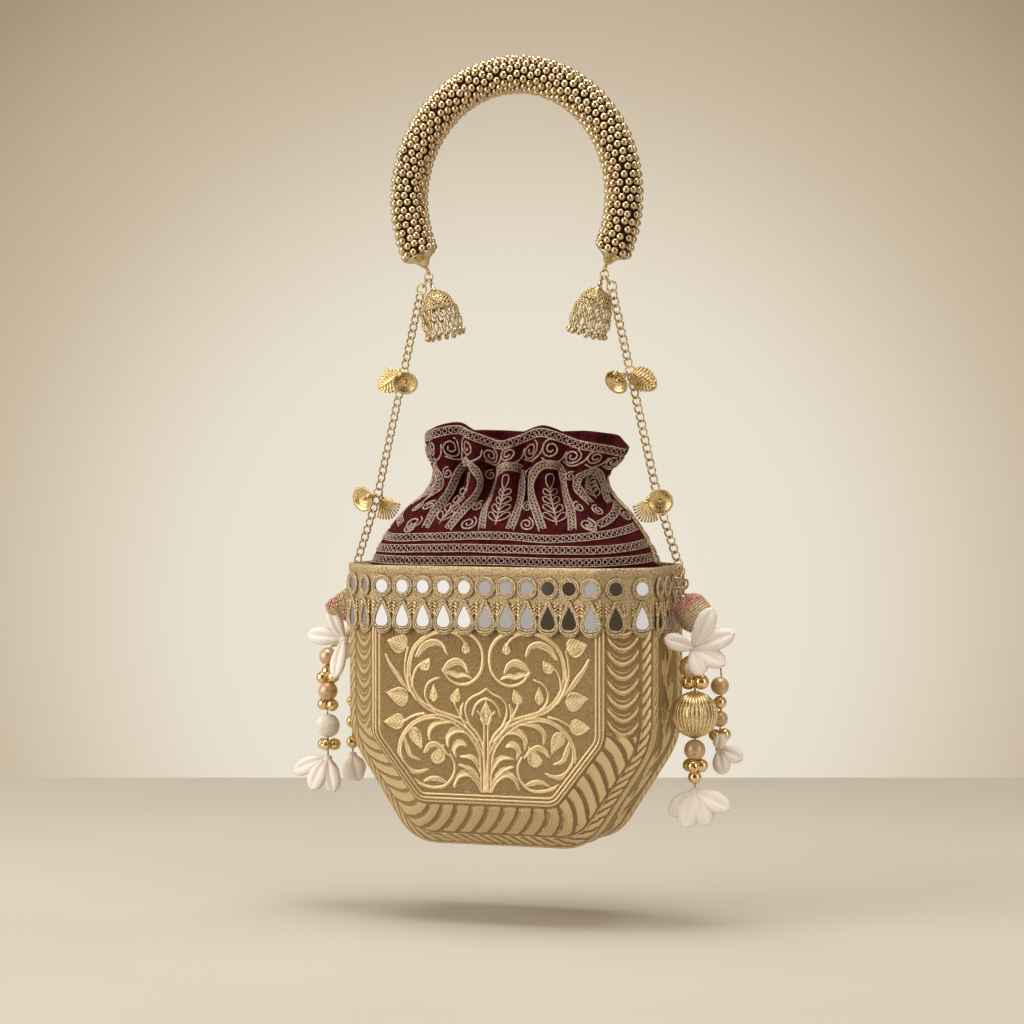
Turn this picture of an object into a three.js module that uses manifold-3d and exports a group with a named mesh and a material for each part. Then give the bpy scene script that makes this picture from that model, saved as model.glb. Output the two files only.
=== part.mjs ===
// Potli bag: an embossed metal clutch box with a gathered cloth pouch rising out of it, hung on two charm
// chains from a beaded C-shaped handle. Millimetres, +Z up, X across the bag, -Y to the front.
// The origin is the middle of the handle's inner top, where the bag hangs on a finger or a hook.
import * as THREE from "three";
import { mergeVertices } from "three/addons/utils/BufferGeometryUtils.js";
import Module from "manifold-3d";

const wasm = await Module();
wasm.setup();

// ---- driving dimensions ----
const GAP = 0.3; // clearance between pieces that touch

const HANDLE = { halfWidth: 59.5, halfHeight: 64, endAngle: 27, coreRadius: 7.4, outerRadius: 10.3 };
HANDLE.centreZ = HANDLE.outerRadius - HANDLE.halfHeight;

const CAP = { length: 6.7, baseRadius: 8.8, tipRadius: 1.5 };
const EYE = { radius: 1.9, wire: 0.5 };
const UPPER_RING = { radius: 2.3, wire: 0.45, hookAngle: 34 };
const HANGER_LINK = { width: 1.6, length: 2.5, wire: 0.4, lean: 30 };
const CHAIN_RING = { radius: 2.6, wire: 0.55, lean: 35 };
const CHARM_RING = { radius: 2.4, wire: 0.45, hookAngle: 52 };
const CHAIN = { pitch: 4.2, waist: 0.7, belly: 1.75 };
// where the chain pivots on each side: upper charms, lower charms, side loop
const CHARM_UPPER = { x: 63.3, z: -146 };
const CHARM_LOWER = { x: 78, z: -210 };
const ANCHOR = { x: 91, z: -250.5 };
const END_RING = { radius: 1.6, wire: 0.45 };

const CHARM_LOOP = { radius: 1.2, wire: 0.35 };
const BELL = { mouth: 5.6, height: 10.4, wall: 0.7 };
const LEAF = { halfWidth: 6, length: 10.6, thickness: 1.2, ribs: 5 };
const INNER_LEAN = 28;
const OUTER_LEAN = 58;
const JHUMKA = { lean: 16, domeRadius: 9, domeTop: -1.8, rim: -15, wall: 0.8, drops: 8, dropEnd: -31.5 };

const RIM_Z = -244;
const SHEET = 1.4;
const BOX_OUTER = { half: 83, top: RIM_Z, shoulder: -334, base: 48, bottom: -388, round: 14 };
const BOX_FACE = { half: 62, top: RIM_Z, shoulder: -332, base: 37, bottom: -364, round: 4 };
const FACE_Y = 43;
const GUSSET_Y = 24;

const TRIM = { height: 35, band: 1, boss: 1.5, roundZ: -254.5, dropZ: -270 };
const MIRRORS_ON = { face: 11, bevel: 2, side: 4 };

const LOOP = { wire: 0.6, reach: 3, drop: 5 };

const POUCH_WALL = 1.6;
const POUCH_FOLDS = 8;
const POUCH_SEGMENTS = 32;
// rings of the pouch from the foot of its lining up to the ruffle: height, half width, half depth, fold depth
const POUCH_RINGS = [
  { z: -384, x: 38, y: 17, fold: 0 },
  { z: -352, x: 62, y: 28, fold: 0 },
  { z: -330, x: 77.5, y: 38, fold: 0 },
  { z: -252, x: 77.5, y: 38.5, fold: 0 },
  { z: -242, x: 76, y: 37.5, fold: 0 },
  { z: -235, x: 73.4, y: 35, fold: 0 },
  { z: -228.5, x: 69.8, y: 31.5, fold: 0.01 },
  { z: -217, x: 60.8, y: 25, fold: 0.03 },
  { z: -208, x: 49, y: 19, fold: 0.05, shift: 1.5 },
  { z: -199, x: 46.5, y: 17.5, fold: 0.06, shift: 2.5 },
  { z: -188, x: 50, y: 19, fold: 0.07, shift: 4 },
  { z: -177, x: 55, y: 21.5, fold: 0.09, shift: 6 },
];
const PIPING = { radius: 1.2, route: [[50.8, -206.5], [57.6, -211.5], [63.4, -217], [68.2, -222.5],
  [72.6, -228.5], [76.2, -235], [78.4, -242]] };

const THREAD = 0.8;
const TASSEL_TOP = { beadZ: -268, flowerZ: -286 };
// beads on each strand: [offset outwards, offset in Y, height, diameter]
const TASSELS = [
  {
    name: "left", side: -1, main: { x: 105.5, y: -2.5 }, second: { x: 98, y: 13.5 }, turn: 50,
    pearls: [[0, 0, -295, 9.4], [0, 0, -313.5, 10.4]],
    shiny: [[0, 0, -303, 7], [3.2, 0, -306.5, 6.6], [-3.2, 0, -306, 6.6], [2.6, 0, -320.5, 6.6],
      [-2.6, 0, -321, 6.6], [0, -3, -342, 6.6], [3.2, 1.5, -342, 6.6], [-3.2, 1.5, -342, 6.6]],
    ball: { z: -332, diameter: 12.6, flutes: 0 },
    flowerZ: -349.5,
    secondBeads: [[0, 0, -320, 6.4], [0, 0, -331, 7.2], [0, 0, -342, 7]],
    secondFlowerZ: -349,
  },
  {
    name: "right", side: 1, main: { x: 98.5, y: -2 }, second: { x: 107.5, y: 12.5 }, turn: 10,
    pearls: [[-2, 0, -295.5, 12], [0, 0, -338, 11]],
    shiny: [[-3.4, 0, -303.2, 8], [3.4, 0, -303, 8], [0, -3, -346, 7], [3.2, 1, -346, 7],
      [-3.2, 1, -346, 7], [0, 0, -352, 7]],
    ball: { z: -319.8, diameter: 24, flutes: 10 },
    flowerZ: -359,
    secondBeads: [[0, 0, -306, 9.4], [0, 0, -314.5, 7], [0, 0, -323, 8.4], [-2.6, 0, -331.5, 6.6],
      [2.6, 0, -331, 6.6]],
    secondFlowerZ: -338.5,
  },
];

// ---- materials ----
const finish = (color, roughness, metalness) => new THREE.MeshStandardMaterial({ color, roughness, metalness });
const GOLD = finish(0xc9a06a, 0.32, 1);
const BEAD_GOLD = finish(0xd8b88a, 0.22, 1);
const SHEET_GOLD = finish(0xb9a07c, 0.42, 1);
const CORD_BROWN = finish(0x3a2217, 0.85, 0);
const MAROON = finish(0x5a1a22, 0.9, 0);
const ZARI = finish(0xc6ab80, 0.55, 0.4);
const PEARL = finish(0xd9c4a0, 0.3, 0.2);
const WHITE_CLOTH = finish(0xe9e2d6, 0.85, 0);

// ---- geometry helpers ----
const DEG = Math.PI / 180;
const polar = (radius, degrees) => [radius * Math.cos(degrees * DEG), radius * Math.sin(degrees * DEG)];

// geometry -> manifold solid: shared corners merged, flat triangles dropped, faces turned outwards
function solid(geometry) {
  const bare = geometry.clone();
  bare.deleteAttribute("normal");
  bare.deleteAttribute("uv");
  const merged = mergeVertices(bare, 1e-4);
  const corner = (i) => new THREE.Vector3().fromBufferAttribute(merged.attributes.position, i);
  const triangles = [];
  let volume = 0;
  for (let i = 0; i < merged.index.count; i += 3) {
    const [a, b, c] = [0, 1, 2].map((k) => merged.index.getX(i + k));
    if (a === b || b === c || c === a) continue;
    triangles.push([a, b, c]);
    volume += corner(a).dot(corner(b).cross(corner(c)));
  }
  const triVerts = triangles.flatMap((t) => (volume < 0 ? t.toReversed() : t));
  const mesh = new wasm.Mesh({
    numProp: 3,
    vertProperties: new Float32Array(merged.attributes.position.array),
    triVerts: new Uint32Array(triVerts),
  });
  return new wasm.Manifold(mesh);
}

const join = (geometries) => geometries.map(solid).reduce((whole, piece) => whole.add(piece));
const cut = (from, tool) => solid(from).subtract(solid(tool));

function geometryOf(manifold) {
  const { vertProperties, triVerts } = manifold.getMesh();
  const geometry = new THREE.BufferGeometry();
  geometry.setAttribute("position", new THREE.BufferAttribute(new Float32Array(vertProperties), 3));
  geometry.setIndex(new THREE.BufferAttribute(new Uint32Array(triVerts), 1));
  return geometry;
}

function piece(name, shape, material) {
  const manifold = shape.isBufferGeometry ? solid(shape) : shape;
  const mesh = new THREE.Mesh(geometryOf(manifold), material);
  mesh.name = name;
  return mesh;
}

// closed skin over a list of rings of [x, y, z] with equal counts; the first and last rings are capped
function loft(rings) {
  const count = rings[0].length;
  const position = rings.flat(2);
  const index = [];
  for (let k = 0; k + 1 < rings.length; k++) {
    for (let i = 0; i < count; i++) {
      const a = k * count + i;
      const b = k * count + ((i + 1) % count);
      index.push(a, b, b + count, a, b + count, a + count);
    }
  }
  const caps = [[0, true], [rings.length - 1, false]];
  for (const [k, reversed] of caps) {
    const centre = position.length / 3;
    const middle = [0, 1, 2].map((axis) => rings[k].reduce((sum, p) => sum + p[axis], 0) / count);
    position.push(...middle);
    for (let i = 0; i < count; i++) {
      const a = k * count + i;
      const b = k * count + ((i + 1) % count);
      index.push(centre, ...(reversed ? [b, a] : [a, b]));
    }
  }
  const geometry = new THREE.BufferGeometry();
  geometry.setAttribute("position", new THREE.BufferAttribute(new Float32Array(position), 3));
  geometry.setIndex(index);
  return geometry;
}

// wire ring; its hole looks along "x" or "y"
function ring({ radius, wire }, hole, steps = 9, sides = 5) {
  const geometry = new THREE.TorusGeometry(radius, wire, sides, steps);
  return hole === "x" ? geometry.rotateY(90 * DEG) : geometry.rotateX(90 * DEG);
}

// solid of revolution about Z from [radius, height] pairs, listed so that the faces look outwards
function turned(profile, segments) {
  const points = profile.map(([radius, height]) => new THREE.Vector2(radius, height));
  return new THREE.LatheGeometry(points, segments).rotateX(90 * DEG);
}

function tube(points, radius, sides, steps) {
  const outline = new THREE.Shape(
    Array.from({ length: sides }, (_, i) => new THREE.Vector2(...polar(radius, (360 * i) / sides))),
  );
  const extrudePath = new THREE.CatmullRomCurve3(points.map((p) => new THREE.Vector3(...p)));
  return new THREE.ExtrudeGeometry(outline, { steps, extrudePath, bevelEnabled: false });
}

function ball([x, y, z], diameter, detail = 1) {
  return new THREE.IcosahedronGeometry(diameter / 2, detail).translate(x, y, z);
}

function smallBall([x, y, z], diameter) {
  return new THREE.OctahedronGeometry(diameter / 2, 1).translate(x, y, z);
}

// moves a geometry whose own -Z axis points down so that it hangs from a point, leaning outwards by an angle
function hang(geometry, point, lean) {
  return geometry.rotateY(-lean * DEG).translate(point.x, 0, point.z);
}

const along = (from, to, distance) => {
  const length = Math.hypot(to.x - from.x, to.z - from.z);
  return { x: from.x + ((to.x - from.x) * distance) / length, z: from.z + ((to.z - from.z) * distance) / length };
};
const leaning = (from, lean, distance) => ({
  x: from.x + distance * Math.sin(lean * DEG),
  z: from.z - distance * Math.cos(lean * DEG),
});

// everything is drawn at +X; the left copy is its mirror image
const sided = (geometry, side) => (side > 0 ? geometry : geometry.clone().scale(-1, 1, 1));

// ---- handle ----
class HandleCurve extends THREE.Curve {
  getPoint(t, target = new THREE.Vector3()) {
    const angle = (180 + HANDLE.endAngle - t * (180 + 2 * HANDLE.endAngle)) * DEG;
    return target.set(
      HANDLE.halfWidth * Math.cos(angle), 0, HANDLE.centreZ + HANDLE.halfHeight * Math.sin(angle),
    );
  }
}

function handleTube(outer, inner) {
  const circle = (radius, sides) =>
    Array.from({ length: sides }, (_, i) => new THREE.Vector2(...polar(radius, (360 * i) / sides)));
  const outline = new THREE.Shape(circle(outer, 10));
  if (inner) outline.holes.push(new THREE.Path(circle(inner, 10).reverse()));
  return new THREE.ExtrudeGeometry(outline, { steps: 20, extrudePath: new HandleCurve(), bevelEnabled: false });
}

// the handle's right end, and how far its axis leans there
const handleEnd = (() => {
  const [cos, sin] = polar(1, HANDLE.endAngle);
  const end = { x: HANDLE.halfWidth * cos, z: HANDLE.centreZ - HANDLE.halfHeight * sin };
  end.lean = -Math.atan2(HANDLE.halfWidth * sin, HANDLE.halfHeight * cos) / DEG;
  return end;
})();

function makeHandle() {
  const group = new THREE.Group();
  group.add(piece("handle_core", handleTube(HANDLE.coreRadius, 0), CORD_BROWN));
  group.add(piece("handle_bead_net", handleTube(HANDLE.outerRadius, HANDLE.coreRadius + GAP), BEAD_GOLD));
  for (const [name, side] of [["left", -1], ["right", 1]]) {
    const top = -GAP;
    const tip = -CAP.length;
    const cone = turned([[0, tip], [CAP.tipRadius, tip], [CAP.baseRadius * 0.8, top - 2.4],
      [CAP.baseRadius, top - 1.6], [CAP.baseRadius, top], [0, top]], 14);
    group.add(piece(`${name}_handle_cap`, sided(hang(cone, handleEnd, handleEnd.lean), side), GOLD));
    const stemTop = tip - GAP;
    const loopZ = stemTop - 0.6 - EYE.radius;
    const stem = turned([[0, stemTop - 0.9], [0.6, stemTop - 0.9], [0.6, stemTop], [0, stemTop]], 6);
    const eye = join([
      sided(hang(ring(EYE, "x").translate(0, 0, loopZ), handleEnd, handleEnd.lean), side),
      sided(hang(stem, handleEnd, handleEnd.lean), side),
    ]);
    group.add(piece(`${name}_handle_eye`, eye, GOLD));
  }
  return group;
}

// ---- hangers, chains and charms ----
const eyeFoot = CAP.length + GAP + 0.6 + 2 * EYE.radius;
const HANGER_PIVOT = leaning(handleEnd, handleEnd.lean, eyeFoot - EYE.wire - UPPER_RING.wire - GAP);
const upperRing = { x: HANGER_PIVOT.x, z: HANGER_PIVOT.z - UPPER_RING.radius };
const linkHook = leaning(upperRing, UPPER_RING.hookAngle, UPPER_RING.radius);
const jhumkaHook = leaning(upperRing, -UPPER_RING.hookAngle, UPPER_RING.radius);
const linkTop = UPPER_RING.wire + HANGER_LINK.wire + GAP;
const linkFoot = 2 * HANGER_LINK.length - linkTop;
const chainRingHook = leaning(linkHook, HANGER_LINK.lean, linkFoot - HANGER_LINK.wire - CHAIN_RING.wire - GAP);
const chainRing = leaning(chainRingHook, CHAIN_RING.lean, CHAIN_RING.radius);

// a run of fused links between two points, square in section
function chainRun(from, to) {
  const length = Math.hypot(to.x - from.x, to.z - from.z);
  const links = Math.round(length / CHAIN.pitch);
  const pitch = length / links;
  const profile = [[0, -length], [CHAIN.waist, -length]];
  for (let i = links - 1; i >= 0; i--) {
    profile.push([CHAIN.belly, -(i + 0.5) * pitch], [CHAIN.waist, -i * pitch]);
  }
  profile.push([0, 0]);
  const lean = Math.atan2(to.x - from.x, from.z - to.z) / DEG;
  return hang(turned(profile, 4), from, lean);
}

function charmLoop(ringWire) {
  return ring(CHARM_LOOP, "x", 8, 4).translate(0, 0, ringWire + CHARM_LOOP.wire + GAP - CHARM_LOOP.radius);
}

const CHARM_NECK = -(CHARM_LOOP.radius + 0.2);

function bellShape() {
  const { mouth, height, wall } = BELL;
  const foot = CHARM_NECK - height;
  return turned([
    [0, CHARM_NECK - 2], [mouth * 0.42, CHARM_NECK - 2.8], [mouth * 0.7 - wall, CHARM_NECK - height * 0.6],
    [mouth - wall, foot], [mouth, foot], [mouth * 0.7, CHARM_NECK - height * 0.55],
    [mouth * 0.5, CHARM_NECK - 1.6], [1.1, CHARM_NECK - 0.6], [1.1, CHARM_NECK], [0, CHARM_NECK],
  ], 10);
}

function leafShape() {
  const { halfWidth, length, thickness, ribs } = LEAF;
  const outline = new THREE.Shape();
  outline.moveTo(-0.9, CHARM_NECK);
  outline.lineTo(-halfWidth, CHARM_NECK - length * 0.62);
  for (let i = 0; i < ribs; i++) {
    const tipX = halfWidth * ((2 * (i + 0.5)) / ribs - 1);
    const endX = halfWidth * ((2 * (i + 1)) / ribs - 1);
    const arc = (x) => CHARM_NECK - length * (0.62 + 0.34 * Math.sqrt(1 - (x / halfWidth) ** 2));
    outline.lineTo(tipX, arc(tipX) - 0.5);
    outline.lineTo(endX, arc(endX));
  }
  outline.lineTo(0.9, CHARM_NECK);
  const plate = new THREE.ExtrudeGeometry(outline, { depth: thickness, bevelEnabled: false, curveSegments: 1 });
  return plate.translate(0, 0, -thickness / 2).rotateX(90 * DEG);
}

function makeCharm(name, shape, hook, lean, side) {
  const place = (geometry) => sided(hang(geometry, hook, lean), side);
  return piece(name, join([place(charmLoop(CHARM_RING.wire)), place(shape)]), GOLD);
}

function makeJhumka(name, side) {
  const { domeRadius, domeTop, rim, wall, drops, dropEnd, lean } = JHUMKA;
  const group = new THREE.Group();
  const place = (geometry) => sided(hang(geometry, jhumkaHook, -lean), side);
  const loop = ring({ radius: 1.4, wire: 0.4 }, "x", 8, 4).translate(0, 0, linkTop - 1.4);
  const height = domeTop - rim;
  const outer = [[1, 1], [0.93, 0.82], [0.8, 0.62], [0.58, 0.44], [0.24, 0.28], [0.13, 0.2], [0.13, 0]];
  const inner = [[0.15, 0.42], [0.5, 0.54], [0.74, 0.7], [0.9, 1]];
  const dome = turned([
    [0, domeTop - height * 0.38],
    ...inner.map(([r, h]) => [domeRadius * r - wall * 0.2, domeTop - height * h]),
    ...outer.map(([r, h]) => [domeRadius * r, domeTop - height * h]), [0, domeTop],
  ], 16);
  group.add(piece(`${name}_jhumka_dome`, join([place(loop), place(dome)]), GOLD));

  const collarTop = rim - GAP;
  const collar = turned([[7, collarTop - 1.4], [9.2, collarTop - 1.4], [9.2, collarTop], [7, collarTop],
    [7, collarTop - 1.4]], 16);
  const fringe = [place(collar)];
  for (let i = 0; i < drops; i++) {
    const [x, y] = polar(8.1, (360 * (i + 0.5)) / drops);
    const drop = turned([[0, dropEnd], [1.5, dropEnd + 1.4], [0.8, dropEnd + 3], [1.2, (collarTop + dropEnd) / 2],
      [0.8, collarTop - 0.7], [0, collarTop - 0.7]], 4);
    fringe.push(place(drop.translate(x, y, 0)));
  }
  group.add(piece(`${name}_jhumka_fringe`, join(fringe), GOLD));
  return group;
}

function makeHanger(name, side) {
  const group = new THREE.Group();
  const add = (part, shape) => group.add(piece(`${name}_${part}`, sided(shape, side), GOLD));
  add("upper_ring", ring(UPPER_RING, "y").translate(upperRing.x, 0, upperRing.z));
  const link = ring({ radius: HANGER_LINK.width, wire: HANGER_LINK.wire }, "x");
  link.scale(1, 1, HANGER_LINK.length / HANGER_LINK.width).translate(0, 0, linkTop - HANGER_LINK.length);
  add("hanger_link", hang(link, linkHook, HANGER_LINK.lean));
  add("chain_ring", ring(CHAIN_RING, "y").translate(chainRing.x, 0, chainRing.z));

  // each run ends a gap short of the wire that it pulls on
  const clear = CHARM_RING.wire + GAP;
  const ringSpan = 2 * CHARM_RING.radius + clear;
  const upperLength = Math.hypot(CHARM_UPPER.x - chainRing.x, CHARM_UPPER.z - chainRing.z);
  const upperStart = along(chainRing, CHARM_UPPER, CHAIN_RING.radius + CHAIN_RING.wire + GAP);
  add("chain_upper", chainRun(upperStart, along(chainRing, CHARM_UPPER, upperLength - ringSpan)));
  const upperCentre = along(chainRing, CHARM_UPPER, upperLength - CHARM_RING.radius);
  add("charm_ring_upper", ring(CHARM_RING, "y").translate(upperCentre.x, 0, upperCentre.z));

  const middleLength = Math.hypot(CHARM_LOWER.x - CHARM_UPPER.x, CHARM_LOWER.z - CHARM_UPPER.z);
  const middleEnd = along(CHARM_UPPER, CHARM_LOWER, middleLength - ringSpan);
  add("chain_middle", chainRun(along(CHARM_UPPER, CHARM_LOWER, clear), middleEnd));
  const lowerCentre = along(CHARM_UPPER, CHARM_LOWER, middleLength - CHARM_RING.radius);
  add("charm_ring_lower", ring(CHARM_RING, "y").translate(lowerCentre.x, 0, lowerCentre.z));

  // the last ring goes round the side loop's upper leg
  const ringZ = ANCHOR.z - LOOP.wire - END_RING.wire - GAP + END_RING.radius;
  const ringTop = { x: ANCHOR.x, z: ringZ + END_RING.radius };
  const lowerRun = chainRun(along(CHARM_LOWER, ringTop, clear), ringTop);
  const endRing = ring(END_RING, "x").translate(ANCHOR.x, 0, ringZ);
  group.add(piece(`${name}_chain_lower`, join([sided(lowerRun, side), sided(endRing, side)]), GOLD));

  const hooks = (centre) => ({
    inner: leaning(centre, -CHARM_RING.hookAngle, CHARM_RING.radius),
    outer: leaning(centre, CHARM_RING.hookAngle, CHARM_RING.radius),
  });
  const [upper, lower] = [hooks(upperCentre), hooks(lowerCentre)];
  group.add(makeCharm(`${name}_bell_upper`, bellShape(), upper.inner, -INNER_LEAN, side));
  group.add(makeCharm(`${name}_leaf_upper`, leafShape(), upper.outer, OUTER_LEAN, side));
  group.add(makeCharm(`${name}_leaf_lower`, leafShape(), lower.inner, -INNER_LEAN, side));
  group.add(makeCharm(`${name}_bell_lower`, bellShape(), lower.outer, OUTER_LEAN, side));
  group.add(makeJhumka(name, side));
  return group;
}

// ---- metal box ----
// outline of the box seen from the front, open side up, with both corners of each chamfer rounded
function boxOutline({ half, top, shoulder, base, bottom, round }, inset = 0, rise = 0) {
  const corner = (previous, at, next) => {
    const towards = (to) => {
      const length = Math.hypot(to[0] - at[0], to[1] - at[1]);
      return [at[0] + ((to[0] - at[0]) * round) / length, at[1] + ((to[1] - at[1]) * round) / length];
    };
    const [from, to] = [towards(previous), towards(next)];
    const curve = new THREE.QuadraticBezierCurve(...[from, at, to].map((p) => new THREE.Vector2(...p)));
    return curve.getPoints(3).map((p) => [p.x, p.y]);
  };
  const side = half - inset;
  const foot = base - inset * 0.5;
  const floor = bottom + inset;
  const right = [
    [side, top + rise],
    ...corner([side, top], [side, shoulder], [foot, floor]),
    ...corner([side, shoulder], [foot, floor], [0, floor]),
  ];
  return [...right, ...right.map(([x, z]) => [-x, z]).reverse()];
}

const flatRing = (outline, y) => outline.map(([x, z]) => [x, y, z]);

// a pressed half of the box: a flat face with a bevel running back to the gusset on three sides
function halfShell() {
  const shell = loft([
    flatRing(boxOutline(BOX_FACE), -FACE_Y),
    flatRing(boxOutline(BOX_OUTER), -GUSSET_Y),
  ]);
  const hollow = loft([
    flatRing(boxOutline(BOX_FACE, SHEET * 0.4, 5), SHEET - FACE_Y),
    flatRing(boxOutline(BOX_OUTER, SHEET * 1.4, 5), 1 - GUSSET_Y),
  ]);
  return [shell, hollow];
}

function makeBox() {
  const group = new THREE.Group();
  const [shell, hollow] = halfShell();
  group.add(piece("box_front", cut(shell, hollow), SHEET_GOLD));
  const turn = (geometry) => geometry.clone().rotateZ(180 * DEG);
  group.add(piece("box_back", cut(turn(shell), turn(hollow)), SHEET_GOLD));
  const depth = GUSSET_Y - GAP;
  const outside = loft([-depth, depth].map((y) => flatRing(boxOutline(BOX_OUTER), y)));
  const inside = loft([-depth - 1, depth + 1].map((y) => flatRing(boxOutline(BOX_OUTER, SHEET, 5), y)));
  group.add(piece("box_gusset", cut(outside, inside), SHEET_GOLD));
  return group;
}

// ---- mirror trim ----
// the rim's eight corners, pushed outwards
function rimCorners(outwards) {
  const bevel = outwards * 0.42;
  const corners = [[BOX_FACE.half + bevel, FACE_Y + outwards], [BOX_OUTER.half + outwards, GUSSET_Y + bevel]];
  const quarter = (sx, sy) => corners.map(([x, y]) => [x * sx, y * sy]);
  return [...quarter(1, -1), ...quarter(1, 1).reverse(), ...quarter(-1, 1), ...quarter(-1, -1).reverse()];
}

function roundBoss(depth) {
  const outline = new THREE.Shape(Array.from({ length: 6 }, (_, i) => new THREE.Vector2(...polar(5.4, 60 * i + 30))));
  return new THREE.ExtrudeGeometry(outline, { depth, bevelEnabled: false });
}

function dropBoss(depth) {
  const half = [[0, 8.6], [3.4, 3], [5.3, -2.5], [3.4, -7.4]];
  const points = [...half, ...half.slice(1).reverse().map(([x, y]) => [-x, y])];
  const outline = new THREE.Shape(points.map((p) => new THREE.Vector2(...p)));
  return new THREE.ExtrudeGeometry(outline, { depth, bevelEnabled: false });
}

function makeTrim() {
  const [top, bottom] = [RIM_Z, RIM_Z - TRIM.height];
  const ringAt = (outwards, z) => rimCorners(outwards).map(([x, y]) => [x, y, z]);
  const outside = loft([ringAt(GAP + TRIM.band, bottom), ringAt(GAP + TRIM.band, top)]);
  const inside = loft([ringAt(GAP, bottom - 1), ringAt(GAP, top + 1)]);
  const embed = 0.4;
  let trim = cut(outside, inside);
  const corners = rimCorners(GAP + TRIM.band - embed);
  const counts = [MIRRORS_ON.bevel, MIRRORS_ON.side, MIRRORS_ON.bevel, MIRRORS_ON.face];
  corners.forEach(([x, y], i) => {
    const [nextX, nextY] = corners[(i + 1) % corners.length];
    const width = Math.hypot(nextX - x, nextY - y);
    const turn = Math.atan2(nextY - y, nextX - x);
    const count = counts[i % counts.length];
    for (let k = 0; k < count; k++) {
      const share = (k + 0.5) / count;
      const at = [x + (nextX - x) * share, y + (nextY - y) * share];
      for (const [boss, z] of [[roundBoss(TRIM.boss), TRIM.roundZ], [dropBoss(TRIM.boss), TRIM.dropZ]]) {
        const size = Math.min(1, width / count / 11.2);
        boss.scale(size, 1, 1).rotateX(90 * DEG).rotateZ(turn).translate(at[0], at[1], z);
        trim = trim.add(solid(boss));
      }
    }
  });
  return piece("mirror_trim", trim, ZARI);
}

// wire loop on each side wall: the chain pulls on its upper leg, the tassel hangs on its lower leg
function makeSideLoop(name, side) {
  const wall = BOX_OUTER.half + 2 * GAP + TRIM.band + TRIM.boss;
  const near = wall + LOOP.wire;
  const far = ANCHOR.x + LOOP.reach;
  const [high, low] = [ANCHOR.z, ANCHOR.z - LOOP.drop];
  const corner = 1.4;
  const route = [[near, 0, high], [far - corner, 0, high], [far, 0, high - corner], [far, 0, low + corner],
    [far - corner, 0, low], [near, 0, low], [near, 0, high - 1.6]];
  return piece(`${name}_side_loop`, sided(tube(route, LOOP.wire, 5, 16), side), GOLD);
}

// ---- pouch ----
function pouchRing({ z, x, y, fold, shift = 0 }, inwards, lift = 0) {
  return Array.from({ length: POUCH_SEGMENTS }, (_, i) => {
    const angle = (360 * i) / POUCH_SEGMENTS;
    const [cos, sin] = polar(1, angle);
    const wave = 1 - fold * Math.cos(POUCH_FOLDS * angle * DEG);
    const round = (value) => Math.sign(value) * Math.abs(value) ** 0.72;
    return [shift + (x - inwards) * wave * round(cos), (y - inwards) * wave * round(sin), z + lift];
  });
}

function makePouch() {
  const outer = POUCH_RINGS.map((r) => pouchRing(r, 0));
  const inner = POUCH_RINGS.map((r, i) => pouchRing(r, POUCH_WALL, i ? 0 : POUCH_WALL)).reverse();
  return piece("pouch", loft([...outer, ...inner]), MAROON);
}

function makePiping(name, side) {
  const route = PIPING.route.map(([x, z]) => [x, 0, z]);
  return piece(`${name}_piping`, sided(tube(route, PIPING.radius, 6, 14), side), GOLD);
}

// ---- tassels ----
// cloth petal lying along +X from a centre, tipped down by an angle and turned about Z
function petal(length, width, droop, turn) {
  const half = [[0, 1.2], [length * 0.5, width / 2], [length * 0.92, width * 0.32]];
  const points = [...half, ...half.toReversed().map(([x, y]) => [x, -y])];
  const outline = new THREE.Shape(points.map((p) => new THREE.Vector2(...p)));
  const cloth = new THREE.ExtrudeGeometry(outline, { depth: 0.9, bevelEnabled: false });
  return cloth.translate(0, 0, -0.45).rotateY(droop * DEG).rotateZ(turn * DEG);
}

function flower(at, petals, knot) {
  const heart = smallBall([0, 0, 0], knot);
  return join([heart, ...petals].map((shape) => shape.translate(...at)));
}

// puffed three-cornered cloth bead, point up
function tasselBead(turn) {
  const size = 10.4;
  const outline = [0, 60, 120, 180, 240, 300].map((angle, i) => polar(i % 2 ? size : size * 0.62, angle + 30));
  const layer = (y, scale) => outline.map(([x, z]) => [x * scale, y, z * scale]);
  return loft([layer(-4.4, 0.5), layer(-1.2, 1), layer(1.2, 1), layer(4.4, 0.5)]).rotateZ(turn * DEG);
}

// bead with a threading hole, fluted like a melon if it has flutes
function boredBall(diameter, flutes) {
  const bore = THREAD + GAP;
  const radius = diameter / 2;
  const segments = flutes ? flutes * 2 : 12;
  const rows = 7;
  const edge = Math.asin(bore / radius);
  const profile = Array.from({ length: rows }, (_, i) => {
    const angle = edge + ((Math.PI - 2 * edge) * i) / (rows - 1);
    return [radius * Math.sin(angle), -radius * Math.cos(angle)];
  });
  const shape = turned([...profile, [bore, profile[0][1]]], segments);
  const { array } = shape.attributes.position;
  for (let i = 0; flutes && i < array.length; i += 3) {
    const distance = Math.hypot(array[i], array[i + 1]);
    const turn = Math.atan2(array[i + 1], array[i]);
    const dip = distance > bore * 1.5 ? 1 - 0.07 * (1 - Math.cos(flutes * turn)) : 1;
    array[i] *= dip;
    array[i + 1] *= dip;
  }
  return shape;
}

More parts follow.
